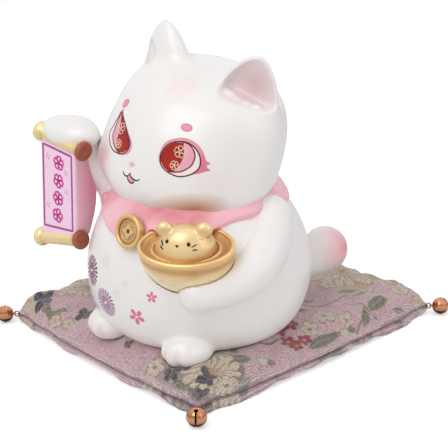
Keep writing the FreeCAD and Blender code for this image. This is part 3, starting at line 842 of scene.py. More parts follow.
# ------------------------------------------------------------------ face
EYE_OUTLINE = [
    (-8.7, -3.9), (-9.0, -0.9), (-8.2, 1.6), (-6.8, 3.9), (-5.0, 5.5), (-2.6, 6.7), (-0.1, 7.4), (2.4, 7.7),
    (4.7, 7.3), (7.0, 6.3), (9.1, 4.7), (10.7, 2.6), (11.6, 0.2), (11.8, -1.9), (11.4, -3.9), (10.1, -5.7),
    (8.2, -7.4), (6.1, -8.6), (3.7, -9.5), (1.1, -9.8), (-1.6, -9.4), (-4.0, -8.7), (-6.4, -7.4),
    (-7.9, -5.8)]
EYE_LID = [
    (-9.6, -4.1), (-9.8, -0.1), (-9.3, 2.6), (-8.2, 4.9), (-6.4, 6.6), (-4.0, 8.0), (-1.1, 9.1), (2.0, 9.6),
    (4.7, 9.3), (7.5, 8.4), (9.9, 7.0), (11.9, 4.9), (13.5, 2.2), (14.5, 0.8), (16.5, 0.0), (15.1, -1.2),
    (15.0, -2.0), (17.0, -3.1), (14.9, -4.5), (12.6, -5.8), (10.6, -6.7), (8.0, -7.7), (4.1, -9.1),
    (-1.0, -9.6), (-5.1, -8.4), (-8.1, -6.3)]
IRIS_EDGE = [
    (-0.1, 7.3), (2.5, 7.4), (4.8, 6.7), (6.8, 5.2), (8.2, 3.1), (8.7, 1.1), (8.4, -1.0), (7.6, -3.2),
    (5.9, -5.1), (3.7, -6.8), (1.2, -7.8), (-1.3, -8.3), (-3.6, -8.4)]
IRIS_INNER_SIDE = [
    (-5.9, -7.1), (-7.4, -5.5), (-8.4, -3.7), (-8.6, -0.9), (-7.8, 1.5), (-6.5, 3.6), (-4.7, 5.2),
    (-2.5, 6.4)]
RED_EDGE = [
    (1.5, 7.1), (2.4, 3.7), (2.9, 0.8), (2.6, -1.3), (2.0, -3.5), (1.0, -5.5), (0.1, -7.2), (-0.9, -8.1),
    (-3.6, -8.3)]


far_lid_growth, far_lid_shift = np.array([1.12, 1.1]), np.array([0.9, 0.7])


def narrowed(points, side):
    """The eye on the cat's right comes to a point at the top, which leans outward."""
    points = np.array(points, float)
    if side < 0:
        points[:, 1] *= 1 + 0.2 * clamp(points[:, 1] / 8)
        share = clamp((points[:, 1] + 4) / 13.5) ** 1.5
        points[:, 0] = -0.5 + (points[:, 0] + 0.5) * (1 - 0.74 * share)
        points[:, 0] -= 8.4 * clamp((points[:, 1] + 1) / 10) ** 1.4
    return points


def eye(layers, spot, side):
    """One eye: sprayed lid with two lashes, dark rim, cream and pink crescents, red iris with blossoms."""
    if side > 0:
        lid = mirrored(EYE_LID, side)
    else:
        lid = narrowed(mirrored(EYE_OUTLINE, side) * far_lid_growth + far_lid_shift, side)
    lid = spline(lid, 130, closed=True)
    outline = spline(narrowed(mirrored(EYE_OUTLINE, side), side), 110, closed=True)
    edge, inner, red_edge = (spline(narrowed(mirrored(line, side), side), count)
                             for line, count in ((IRIS_EDGE, 60), (IRIS_INNER_SIDE, 40), (RED_EDGE, 40)))
    iris = np.vstack([edge, inner])
    red = np.vstack([red_edge, inner])

    def lid_shade(flat):
        share = clamp((side * flat[:, 0] - 2) / 10) * np.clip((8 - flat[:, 1]) / 8, 0.15, 1)
        rim = clamp(1 - edge_distance(flat, lid) / 1.1) * 0.5
        return mixed(mixed(linear("EFA4AC"), "E67F93", share), "C9909E", rim)

    def pink_shade(flat):
        return mixed(linear("F4AEC0"), "E0A3BE", clamp((side * flat[:, 0] - 4.5) / 4) * 0.7)

    def red_shade(flat):
        rim = clamp(1 - edge_distance(flat, red) / 1.8) ** 1.5
        return mixed(mixed(linear("A81A12"), "C2261C", clamp(-flat[:, 1] / 9)), "7E1418", rim * 0.75)

    layers["lid"].fill(spot, lid, 0.05, lid_shade)
    layers["iris"].fill(spot, outline, 0.09, "FBEFE8")
    layers["iris"].fill(spot, iris, 0.12, pink_shade)
    layers["iris"].fill(spot, red, 0.15, red_shade, pitch=0.7)
    layers["line"].stroke(spot, outline, 0.62, 0.17, "5E1620", closed=True)
    layers["line"].stroke(spot, edge, 0.62, 0.17, "5E1620")
    for centre, radius, turn in (((0.7, 2.4), 3.3, 0.35), ((-0.7, -4.8), 2.5, 0.9)):
        place = narrowed(mirrored([centre], side), side)[0]
        for petal in petal_ring(place, radius, waist=0.42, notch=0.18, turn=turn):
            layers["line"].stroke(spot, petal, 0.34, 0.19, "F0D9B8", closed=True)
        heart = spline(petal_ring(place, radius * 0.4, 1)[0], 16, closed=True)
        layers["line"].fill(spot, heart, 0.19, "4A1414", pitch=0.5)


# nose and mouth, flat, mm: closed shapes and three brush lines
NOSE = [(-3.8, 0.0), (-2.8, 1.1), (-0.8, 1.2), (0.3, 0.4), (-0.9, -1.1), (-2.0, -1.6), (-3.2, -1.1)]
TONGUE = [(-2.5, -6.9), (-1.3, -5.0), (0.1, -6.2), (1.9, -6.7), (2.4, -7.9), (1.4, -8.9), (0.1, -8.9),
          (-1.4, -8.0)]
MOUTH = [
    [(-6.4, -5.2), (-5.6, -6.3), (-4.4, -6.9), (-2.9, -6.8), (-1.9, -5.9), (-1.2, -4.3)],
    [(-1.2, -4.3), (-0.6, -5.6), (0.6, -6.4), (2.0, -6.7), (3.6, -6.7), (4.9, -6.1), (5.6, -4.9)],
    [(-2.7, -6.8), (-2.0, -7.8), (-0.8, -8.8), (0.6, -9.2), (1.9, -8.8), (2.6, -7.9), (2.4, -6.7)]]


def paint_face(skin):
    """Eyes, brows, nose and mouth."""
    layers = {name: Layer(skin) for name in ("lid", "iris", "line", "soft")}
    eye(layers, head_spot(25, 14.4), 1)
    eye(layers, head_spot(-25, 14.4, (6.8, -1.2)), -1)
    for azimuth, height, reach in ((25, 32.4, (3.1, 2.1)), (-29.2, 29.4, (2.4, 2.6))):
        circle = ring(*reach, 40)

        def brow_shade(flat, circle=circle):
            return mixed(linear("F595AE"), "C98396", clamp(1 - edge_distance(flat, circle) / 1.0))
        layers["lid"].fill(head_spot(azimuth, height), circle, 0.06, brow_shade, pitch=0.6)
    nose = head_spot(0, 3.6)
    layers["soft"].fill(nose, spline(NOSE, 40, closed=True), 0.1, "EBC3CC", 0.5)
    layers["soft"].fill(nose, spline(TONGUE, 40, closed=True), 0.06, "E8A3A4", 0.5)
    for points in MOUTH:
        layers["line"].stroke(nose, spline(points, 30), 0.72, 0.12, "3A1A1E", taper=True)
    layers["lid"].piece("face_lids", "pink_glaze")
    layers["iris"].piece("face_irises", "pink_glaze")
    layers["line"].piece("face_lines", "brown_glaze")
    layers["soft"].piece("face_soft_marks", "pink_glaze")


def paint_body(skin):
    """Two chrysanthemum roundels, two blossoms and three faint ones on the belly."""
    marks = Layer(skin)
    swelling = np.array([0.25, 0.45, 0.65, 0.85, 1.0, 0.95, 0.5])
    for azimuth, height, radius, code, count in (
            (-27, 41.2, 8.6, "8E4E74", 20), (-13, 28.3, 8.2, "B286A6", 21)):
        spot = body_spot(azimuth, height)
        for k in range(count):
            a = math.tau * k / count
            for near, far, width, lean in ((0.12, 0.5, 0.7, 0.0), (0.4, 1.0, 1.4, 0.5 * math.tau / count)):
                line = [(radius * s * math.cos(a + lean), radius * s * math.sin(a + lean))
                        for s in np.linspace(near, far, len(swelling))]
                marks.stroke(spot, line, width * radius / 8 * swelling, 0.05, code)
    for azimuth, height, radius, turn in ((18, 38.8, 3.3, 0.3), (8.5, 26.1, 5.2, 0.9)):
        for petal in petal_ring((0, 0), radius, waist=0.27, notch=0.12, turn=turn):
            marks.fill(body_spot(azimuth, height), petal, 0.05, "E5809C", 0.7)
    for azimuth, height, radius in ((2.3, 42.5, 3.2), (-3.3, 36.2, 3.6), (-13.5, 50.9, 5.0)):
        for petal in petal_ring((0, 0), radius, waist=0.34, turn=0.7):
            marks.fill(body_spot(azimuth, height), petal, 0.03, "F7E9EB", 0.9)
    marks.piece("belly_blossoms", "pink_glaze")


paint_face(Skin(head_points, head_faces))
paint_body(Skin(body_points, body_faces))

# ------------------------------------------------------------------ turned and local pieces
def lathe(profile, sides=96):
    """A closed turned solid from (radius, height) points that start and end on the axis."""
    inner = [q for q in profile if q[0] > 1e-6]
    points = [(0, 0, profile[0][1])]
    for r, z in inner:
        points += [(x, y, z) for x, y in ring(r, r, sides)]
    points.append((0, 0, profile[-1][1]))
    faces = [[0, 1 + (i + 1) % sides, 1 + i] for i in range(sides)]
    for k in range(len(inner) - 1):
        a, b = 1 + k * sides, 1 + (k + 1) * sides
        faces += [[a + i, a + (i + 1) % sides, b + (i + 1) % sides, b + i] for i in range(sides)]
    last, a = len(points) - 1, 1 + (len(inner) - 1) * sides
    faces += [[last, a + i, a + (i + 1) % sides] for i in range(sides)]
    return np.array(points), faces


def along_axis(points, start, end):
    """Local points with Z along an axis, moved onto the line from start to end."""
    start, end = np.array(start, float), np.array(end, float)
    z = (end - start) / np.linalg.norm(end - start)
    x = np.cross([0, 1, 0], z)
    x /= np.linalg.norm(x)
    y = np.cross(z, x)
    return start + np.asarray(points) @ np.array([x, y, z])


def gold_patina_and_shade(share, deep="7A4A1E", bright="E2BD82"):
    """Gold that browns by a share for each point, for the antique patina in hollows and for painted shade."""
    return mixed(linear(bright), deep, clamp(share))


# ------------------------------------------------------------------ scarf
# the scarf's lower edge round the neck: degrees from the front, height
scarf_edge = [
    (-180, 73), (-130, 75), (-100, 81), (-60, 82), (-47, 80), (-39, 75), (-33, 71.2), (-21, 67.2), (-9, 64.3),
    (7, 64.5), (30, 68.3), (49.7, 71.4), (60, 74.3), (78, 77.0), (90, 77.3), (130, 75), (180, 73)]
knot_balls = [((-40.2, -31.6, 72.6), (3.6, 3.4, 4.6)), ((-34.0, -38.6, 68.6), (3.0, 3.0, 4.6))]


def scarf_field():
    field = Field((-56, -64, 58), (56, 56, 96), 0.6)
    edge = np.array(scarf_edge)
    roll_radius, roll_thick, roll_tall, roll_height = 41.5, 5.2, 5.8, 75.6
    cloth_thick, tucked_in = 2.3, 1.2

    def folds(p):
        """The direction of each point from the front, and how far the cloth's folds push it out."""
        z, a = p[..., 2], np.degrees(np.arctan2(p[..., 0], -p[..., 1]))
        wave = np.sin(np.radians(a) * 9 + 0.25 * (z - 70)) + 0.6 * np.sin(np.radians(a) * 17 + 1.3 - 0.3 * z)
        return a, 0.45 * wave * clamp((z - 62) / 18)

    def cloth(p):
        a, wave = folds(p)
        low = np.interp(a, edge[:, 0], edge[:, 1])
        return overlap(body_round(p, cloth_thick) - wave, (low - p[..., 2]) * 0.85, 2.6)

    def roll(p):
        q = local(p, (0, 0, roll_height), rotation(roll=4.0))
        across, up = (radial(q) - roll_radius) / roll_thick, q[..., 2] / roll_tall
        return (np.hypot(across, up) - 1) * roll_thick - folds(p)[1]

    field.add(cloth)
    field.add(roll, 4.0)
    field.cut(lambda p: body_round(p, -tucked_in), 0.4)
    field.cut(ingot_room, 0.6, box_round(ingot_origin, (30, 30, 30)))
    for centre, radii in knot_balls:
        field.add(ellipsoid(centre, radii), 1.2, box_round(centre, radii))
    return field


def make_scarf():
    points, faces = scarf_field().mesh(3)
    scarf = make_mesh("cat_scarf", points, faces, pink_glaze)
    # the spots, in order: painted shade under the chin, the deeper pink knot, painted light on the bib's lit
    # front toward the cat's right, and a painted highlight on the roll at the cat's left
    paint(scarf, tinted(points, "FCB9C5", [
        ((22, -42, 80), (30, 16, 9), "D4606F", 0.9, 0.8),
        ((-43, -31, 70), (9, 9, 12), "E995A6", 0.9, 0.7),
        ((-20, -47, 74), (18, 14, 12), "FFC9D2", 0.8, 0.8),
        ((42, -14, 80), (14, 22, 8), "FDCBD3", 0.6, 0.9)]))
    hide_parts("scarf_band", "scarf_bib", "scarf_knot")


# ------------------------------------------------------------------ coin
coin_centre, coin_radius, coin_thickness = np.array([2.6, -57.2, 70.4]), 9.0, 3.6
coin_tilt = 15.0
coin_edge, coin_field_radius, coin_field_depth = 1.2, 6.9, 1.0
star_reach, star_rays = 2.5, 1.5


def make_coin():
    """A thick coin: rolled rim, sunk field, a four-pointed star round a small square hole."""
    field = Field((-11, -11, -6), (11, 11, 2.5), 0.2)

    def disc(p):
        half = coin_thickness / 2
        q = np.stack([radial(p) - (coin_radius - coin_edge), np.abs(p[..., 2] + half) - (half - coin_edge)],
                     -1)
        return np.linalg.norm(np.maximum(q, 0), axis=-1) + np.minimum(q.max(-1), 0) - coin_edge

    def bead(radius, width, height):
        return lambda p: (np.hypot((radial(p) - radius) / width, (p[..., 2] - height) / 0.7) - 1) * 0.7

    def star(p):
        reach = star_reach + star_rays * np.abs(np.cos(2 * np.arctan2(p[..., 1], p[..., 0]))) ** 3
        return np.maximum((radial(p) - reach) * 0.8, np.abs(p[..., 2] + 0.9) - 0.75)

    field.add(disc)
    field.cut(lambda p: np.maximum(radial(p) - coin_field_radius, -coin_field_depth - p[..., 2]), 0.5)
    field.add(bead(7.9, 1.1, 0.0), 0.4)
    field.add(bead(5.4, 0.45, -coin_field_depth), 0.3)
    field.add(star, 0.4)
    field.cut(lambda p: np.maximum(np.abs(p[..., :2]).max(-1) - 1.0, -1.9 - p[..., 2]), 0.25)
    points, faces = field.mesh(2)
    r, z = radial(points), points[:, 2]
    # antique patina with painted shade: darker down in the sunk field and toward the coin's back
    low = clamp((-0.25 - z) / 1.2) * (r < 7.4) + clamp((-1.0 - z) / 3.5) * (r > 7.4)
    upright = rotation(pitch=90 - coin_tilt)
    coin = make_mesh("cat_coin", points @ upright.T + coin_centre, faces, gold_paint)
    paint(coin, gold_patina_and_shade(0.62 * low))
    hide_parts("coin_charm")


# ------------------------------------------------------------------ ingot with a small cat's face
ingot_bead_radius = 17.2


def ingot_oval(p):
    """How far points are from the bowl's axis, as if its oval were round."""
    return np.hypot(p[..., 0], p[..., 1] * (ingot_radii[0] / ingot_radii[1]))


def ingot_fields():
    bowl = Field((-28, -20, -29), (28, 20, 6), 0.42)

    def bead(radius, height, flatness, thickness):
        """A round bead that follows the bowl's oval."""
        def shape(p):
            r = ingot_oval(p)
            scale = np.clip(radial(p) / np.maximum(r, 1e-3), 0.6, 1)
            return np.hypot((r - radius) * scale, (p[..., 2] - height) * flatness) - thickness
        return shape

    bowl.add(lambda p: overlap(ellipsoid((0, 0, 0), ingot_radii)(p), p[..., 2] - 0.2, 0.8))
    bowl.cut(ellipsoid((0, 0, 1.6), (22.8, 15.1, 4.0)), 1.0)
    bowl.add(bead(23.5, 0.1, 0.85, 1.35), 0.6)
    bowl.add(bead(ingot_bead_radius, -1.2, 1.0, 0.8), 0.5)
    dome = Field((-17, -13, -7), (17, 13, 17), 0.32)
    dome.add(ellipsoid((0, 0, -0.5), dome_radii))
    dome.add(ellipsoid((0, -1.5, -1.0), (13.6, 10.2, 8.6)), 3.0)
    for side in (-1, 1):
        ear = (side * dome_ear[0], dome_ear[1], dome_ear[2])
        dome.add(ellipsoid(ear, (4.3, 3.6, 4.3)), 1.2)
        dome.cut(ellipsoid((ear[0] + side * 0.3, ear[1] - 4.4, ear[2] + 0.3), (2.7, 1.5, 2.7)), 0.9)
    return bowl, dome


def make_ingot():
    bowl, dome = ingot_fields()
    points, faces = bowl.mesh(3)
    r, z = ingot_oval(points), points[:, 2]
    # painted shade with the antique patina: the gold browns inside the bowl, most toward its two ends and
    # least on the inner bead, and in a band under the rim
    inner = clamp((22.4 - r) / 1.6) * (z > -5)
    bead = hump(r - ingot_bead_radius, 0.8) * (z > -5)
    under = hump(z + 3.4, 2.0) * (r > 21.0)
    share = np.clip(inner * (1 - 0.9 * bead) * (0.22 + 0.6 * np.abs(points[:, 0] / 22) ** 2) + 0.5 * under, 0,
                    0.8)
    # painted reflection: the lower bowl goes pale cream
    pale = clamp((-z - 5) / 6) * np.clip((z + 29) / 9, 0.25, 1) * 0.85
    made = make_mesh("cat_ingot", ingot_to_cat(points), faces, gold_paint)
    paint(made, mixed(gold_patina_and_shade(share, deep="B06A30", bright="F0C98A"), "FFF1CC", pale))
    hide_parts("ingot_bowl")

    points, faces = dome.mesh(3)
    # painted reflection and shade: the dome browns toward its bottom, more so on its +x side, and painted
    # shade beside the ears
    low = clamp((4.5 - points[:, 2]) / 6.5) * np.clip(0.75 + points[:, 0] / 22, 0.2, 1)
    shade_beside_ears = sum(fading_spot(points, (side * 10.5, -0.6, 6.2), (4.2, 6, 3.6), 0.8) for side in (-1, 1))
    share = np.clip(0.7 * low + 0.6 * shade_beside_ears, 0, 0.85)
    face = make_mesh("ingot_cat_face", ingot_to_cat(points), faces, gold_paint)
    paint(face, gold_patina_and_shade(share, deep="A8632E", bright="F0D09A"))
    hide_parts("ingot_cat")

    marks = Layer(Skin(ingot_to_cat(points), faces))
    dark = "2E1A12"

    def dome_spot(x, z):
        y = -dome_radii[1] * math.sqrt(max(1 - (x / dome_radii[0]) ** 2 - (z / dome_radii[2]) ** 2, 0.05))
        n = np.array([x / dome_radii[0] ** 2, y / dome_radii[1] ** 2, z / dome_radii[2] ** 2])
        return Spot(ingot_origin + ingot_turn @ np.array([x, y, z]), ingot_turn @ n, ingot_turn[:, 2])

    for x in (-8.0, 3.2):
        marks.fill(dome_spot(x, 8.4), ring(0.95, 1.05, 24), 0.12, dark, 0.4)
    nose = spline([(-0.9, 0.5), (0, 0.6), (0.9, 0.5), (0.3, -0.5), (0, -0.8), (-0.3, -0.5)], 24, closed=True)
    marks.fill(dome_spot(-2.6, 7.6), nose, 0.12, dark, 0.4)
    for x, z, width, first, last in ((-10.6, 6.6, 0.9, (-1.7, 1.3), (1.2, -0.9)),
                                     (-10.7, 4.6, 0.9, (-1.6, 0.7), (1.2, -0.3)),
                                     (6.0, 7.4, 0.6, (-1.8, -0.5), (1.7, 0.4)),
                                     (6.2, 5.6, 0.6, (-1.5, 0.0), (1.5, -0.2))):
        marks.stroke(dome_spot(x, z), spline([first, (0, 0.15), last], 12), width, 0.1, dark, taper=True)
    marks.piece("ingot_face_marks", "brown_glaze")


# ------------------------------------------------------------------ scroll
sheet_corners = [(-75.8, 106.5), (-47.8, 102.0), (-51.8, 51.0), (-80.8, 47.0)]
sheet_front, sheet_neck_depth, sheet_belly_depth = -46.5, 8.5, 16.0
scroll_plane = -44.0
rod_ends = {"top": ((-79.0, 108.5), (-41.6, 101.7)), "bottom": ((-86.0, 45.0), (-48.6, 50.7))}
sheet_middle = (-64, 78)
# places of the large and the small blossoms on the sheet
SCROLL_BLOSSOMS = [(-61.6, 93.0, 0.2), (-62.9, 82.6, 0.9), (-64.3, 72.3, 0.5), (-65.8, 62.2, 1.2)]
SCROLL_CROSSES = [(-70.3, 95.6), (-56.0, 88.2), (-56.6, 77.4), (-73.4, 67.2)]
SCROLL_BORDER = [(-73.9, 102.3), (-50.6, 98.4), (-53.7, 55.4), (-78.0, 54.2)]


def make_sheet():
    """The scroll's pink sheet, flat in front and bellied behind, its sides darkened with painted shade."""
    field = Field((-85, -50, 44), (-44, -27, 110), 0.45)
    back = spline([(46, sheet_neck_depth), (70, sheet_belly_depth), (107, sheet_neck_depth)], 80)
    corners = np.array(sheet_corners)
    middle = corners.mean(0)

    def sheet(p):
        behind = (p[..., 1] - sheet_front - np.interp(p[..., 2], back[:, 0], back[:, 1])) * 0.97
        best = overlap(sheet_front - p[..., 1], behind, 2.0)
        for a, b in zip(corners, np.roll(corners, -1, 0)):
            out = np.array([b[1] - a[1], a[0] - b[0]]) / np.linalg.norm(b - a)
            if out @ (middle - a) > 0:
                out = -out
            best = overlap(best, (p[..., 0] - a[0]) * out[0] + (p[..., 2] - a[1]) * out[1], 1.3)
        return best

    field.add(sheet)
    points, faces = field.mesh(3)
    # painted shade: the sides go deeper pink than the front as they turn back, and a greyer pink toward the
    # bottom
    depth = points[:, 1] - sheet_front
    deep = clamp((depth - 4) / 8)[:, None]
    inner = mixed(linear("E894AD"), "DDA9B8", clamp((85 - points[:, 2]) / 35))
    edge = linear("F8C4D3") * (1 - deep) + inner * deep
    side = clamp((depth - 1.4) / 1.2)[:, None]
    made = make_mesh("scroll_body", points, faces, scroll_glaze)
    paint(made, linear("FFDDF2") * (1 - side) + edge * side)
    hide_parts("scroll_sheet")
    return Skin(points, faces)


def paint_sheet(skin):
    """A border, a column of blossoms and small crosses on the sheet."""
    marks = Layer(skin)
    spot = Spot((sheet_middle[0], sheet_front, sheet_middle[1]), (0, -1, 0))

    def ray(place, angle, reaches):
        return [(place[0] + s * math.cos(angle), place[1] + s * math.sin(angle)) for s in reaches]

    border = np.array(SCROLL_BORDER) - sheet_middle
    loop = np.vstack([np.linspace(a, b, 24, endpoint=False) for a, b in zip(border, np.roll(border, -1, 0))])
    marks.stroke(spot, loop, 1.25, 0.12, "B8509C", closed=True)
    for x, z, turn in SCROLL_BLOSSOMS:
        place = np.array((x, z)) - sheet_middle
        for petal in petal_ring(place, 4.3, waist=0.34, notch=0.16, turn=turn, samples=22):
            marks.stroke(spot, petal, 0.95, 0.14, "DF3CA4", closed=True)
        for k in range(5):
            stamen = ray(place, turn + math.tau * (k + 0.5) / 5, (1.2, 2.8, 4.4))
            marks.stroke(spot, stamen, 0.55, 0.13, "C050A8", taper=True)
        marks.fill(spot, petal_ring(place, 1.1, 1, waist=0.5)[0] - np.array([0.5, 0]), 0.15, "DF3CA4", 0.5)
    for x, z in SCROLL_CROSSES:
        for k in range(4):
            arm = ray(np.array((x, z)) - sheet_middle, math.tau * k / 4 + 0.3, (0.5, 1.25, 2.0))
            marks.stroke(spot, arm, 0.6, 0.1, "D98CC8", taper=True)
    marks.piece("scroll_motif", "scroll_pink")


def make_rod(name):
    """A gold rod with a turned finial at its near end and a round wooden knob at its far end."""
    (x0, z0), (x1, z1) = rod_ends[name]
    start, end = (x0, scroll_plane, z0), (x1, scroll_plane, z1)
    length = math.dist(start, end)
    rod_line = [(0.0, 0.5), (2.6, 0.35), (3.4, -0.1), (4.6, -0.15), (5.35, 0.45), (5.6, 1.6), (5.5, 3.2),
                (4.9, 4.4),
                (4.25, 5.3), (4.05, 7.0), (4.0, length / 2)]
    rod_line += [(r, length - z) for r, z in ((4.05, 6.6), (4.4, 5.0), (4.7, 3.4), (4.2, 2.4), (0.0, 2.3))]
    knob_line = [(r, length - z) for r, z in (
        (0.0, 3.6), (4.3, 3.6), (5.1, 3.3), (5.45, 2.5), (5.45, 1.2), (5.0, 0.3), (3.9, 0.0), (3.2, 0.3),
        (2.2, 0.25),
        (0.0, 0.05))]
    points, faces = lathe(rod_line)
    # antique patina with painted shade at the neck by the finial and by the knob
    share = 0.35 * hump(points[:, 2] - 5.6, 1.0) + 0.4 * hump(points[:, 2] - length + 4.6, 1.2)
    rod = make_mesh("scroll_rod_" + name, along_axis(points, start, end), faces, gold_paint,
                    sharp=35)
    paint(rod, gold_patina_and_shade(share, deep="B98A4C", bright="F4DCA4"))
    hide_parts("scroll_%s_rod" % name)
    points, faces = lathe(knob_line)
    knob = make_mesh("scroll_knob_" + name, along_axis(points, start, end), faces, brown_glaze,
                     sharp=60)
    if name == "bottom":
        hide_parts("scroll_end_discs")


make_scarf()
make_coin()
make_ingot()
paint_sheet(make_sheet())
for rod_name in rod_ends:
    make_rod(rod_name)

# ------------------------------------------------------------------ cushion
cushion_half = (82.0, 91.0)
seam_height, seat_height = 4.8, 14.7
cushion_rise, cushion_drop = 11.3, 6.8
edge_ease = 20
pillow_steps, cloth_frames = 41, 20
cloth_brightness = 1.28
swell_cap = 3.0
# the cloth past the top's edge: height of the edge, drop to the seam, and how much of it the pattern follows
edge_height, cloth_drop, cloth_ease = 15.0, 10.2, 0.85
# the seam: mm of cloth for each unit of side, its groove, and the pale welt on both sides of it
seam_scale = 2.4
groove_width, groove_depth, groove_dark = 0.36, 0.9, 0.7
welt_place, welt_width, welt_height, welt_pale = 1.2, 0.55, 0.35, 0.45
wall_fullness, normal_focus, floor_gap = 2.8, 0.93, 0.02
tint_limit = 0.98


def pillow_plan(u, v):
    """Plan of the cushion: nearly straight sides, pulled in beside each drawn-out corner."""
    def side(across, along, half):
        full = half * (1 + 0.05 * (1 - along ** 2)) + 1.8
        ear = 1.4 * hump(np.abs(along) - 0.86, 0.085) * np.abs(across) ** 6
        return across * (full - ear)
    return side(u, v, cushion_half[0]), side(v, u, cushion_half[1])


def pillow_mesh():
    """The cushion before its cloth swells: points, mm, faces, and each point's place on the cloth."""
    t = np.linspace(-1, 1, pillow_steps)
    s = 0.6 * t + 0.4 * np.sin(t * math.pi / 2)
    u, v = np.meshgrid(s, s, indexing="ij")
    x, y = pillow_plan(u, v)
    full = np.sqrt(clamp((1 - np.abs(u) ** edge_ease) * (1 - np.abs(v) ** edge_ease)))
    top = np.stack([x, y, seam_height + cushion_rise * full], -1).reshape(-1, 3)
    low = np.stack([x, y, seam_height - cushion_drop * full], -1).reshape(-1, 3)
    n = pillow_steps
    rim = np.zeros((n, n), bool)
    rim[0], rim[-1], rim[:, 0], rim[:, -1] = True, True, True, True
    rim = rim.ravel()
    index = np.arange(n * n)
    below = index.copy()
    below[~rim] = n * n + np.arange((~rim).sum())
    index, below = index.reshape(n, n), below.reshape(n, n)
    faces = []
    for grid, flip in ((index, False), (below, True)):
        for i in range(n - 1):
            for j in range(n - 1):
                f = [grid[i, j], grid[i + 1, j], grid[i + 1, j + 1], grid[i, j + 1]]
                faces.append(f[::-1] if flip else f)
    side = np.concatenate([np.where(rim, 0.0, 1.0), -np.ones((~rim).sum())])
    flat = np.stack([u.ravel(), v.ravel()], 1)
    return np.vstack([top, low[~rim]]), faces, np.column_stack([np.vstack([flat, flat[~rim]]), side])


def evaluated(obj):
    """The mesh of an object with its modifiers in it."""
    graph = bpy.context.evaluated_depsgraph_get()
    return bpy.data.meshes.new_from_object(obj.evaluated_get(graph))


def coordinates(mesh):
    co = np.zeros(len(mesh.vertices) * 3, np.float32)
    mesh.vertices.foreach_get("co", co)
    return co.reshape(-1, 3).astype(float)


def swell(obj, held_points):
    """Cloth under pressure, held along its seam, for a few frames."""
    start = coordinates(obj.data)
    held = obj.vertex_groups.new(name="seam")
    held.add([int(i) for i in held_points], 1.0, "REPLACE")
    cloth = obj.modifiers.new("cloth", "CLOTH")
    settings = cloth.settings
    settings.use_pressure = True
    settings.uniform_pressure_force = 4.0
    settings.mass = 0.3
    settings.tension_stiffness = 15
    settings.compression_stiffness = 15
    settings.bending_stiffness = 0.2
    settings.shrink_min = -0.03
    settings.vertex_group_mass = "seam"
    settings.effector_weights.gravity = 0
    cloth.collision_settings.use_collision = False
    scene = bpy.context.scene
    for clock in (scene, cloth.point_cache):
        clock.frame_start, clock.frame_end = 1, cloth_frames
    for step in range(1, cloth_frames + 1):
        scene.frame_set(step)
    moved = coordinates(evaluated(obj))
    obj.modifiers.remove(cloth)
    scene.frame_set(1)
    shift = moved - start
    size = np.linalg.norm(shift, axis=1)[:, None]
    shift *= np.minimum(1, swell_cap * MM / np.maximum(size, 1e-9))
    obj.data.vertices.foreach_set("co", (start + shift).astype(np.float32).ravel())
    obj.data.update()


def wavy(x, y, seed, scale):
    """Smooth seeded waves, about -1 to 1."""
    dice = np.random.default_rng(seed)
    total = np.zeros_like(x)
    for _ in range(7):
        a, phase = dice.uniform(0, math.tau, 2)
        k = dice.uniform(0.6, 1.6) / scale
        total += np.sin((x * math.cos(a) + y * math.sin(a)) * k * math.tau + phase)
    return total / 3.2


def clear_of_cat(p):
    """The highest the cloth may be at each place: flat under the cat's base and feet, free elsewhere."""
    q = (p - cat_origin) @ cat_rotation
    free = np.full(len(p), 30.0)
    r = np.hypot(q[:, 0], q[:, 1])
    base = np.interp(r, [0, 40, 49.5, 56, 60, 66], [0, 0, 5.0, 13, 25, 30])
    free = np.minimum(free, base)
    for side in (-1, 1):
        d = np.hypot((q[:, 0] - side * foot_centre[0]) / foot_radii[0],
                     (q[:, 1] - foot_centre[1]) / foot_radii[1])
        free = np.minimum(free, np.interp(d, [0, 0.66, 0.9, 1.03, 1.2], [0, 0, 2.2, 7.0, 30]))
    return seat_height + free


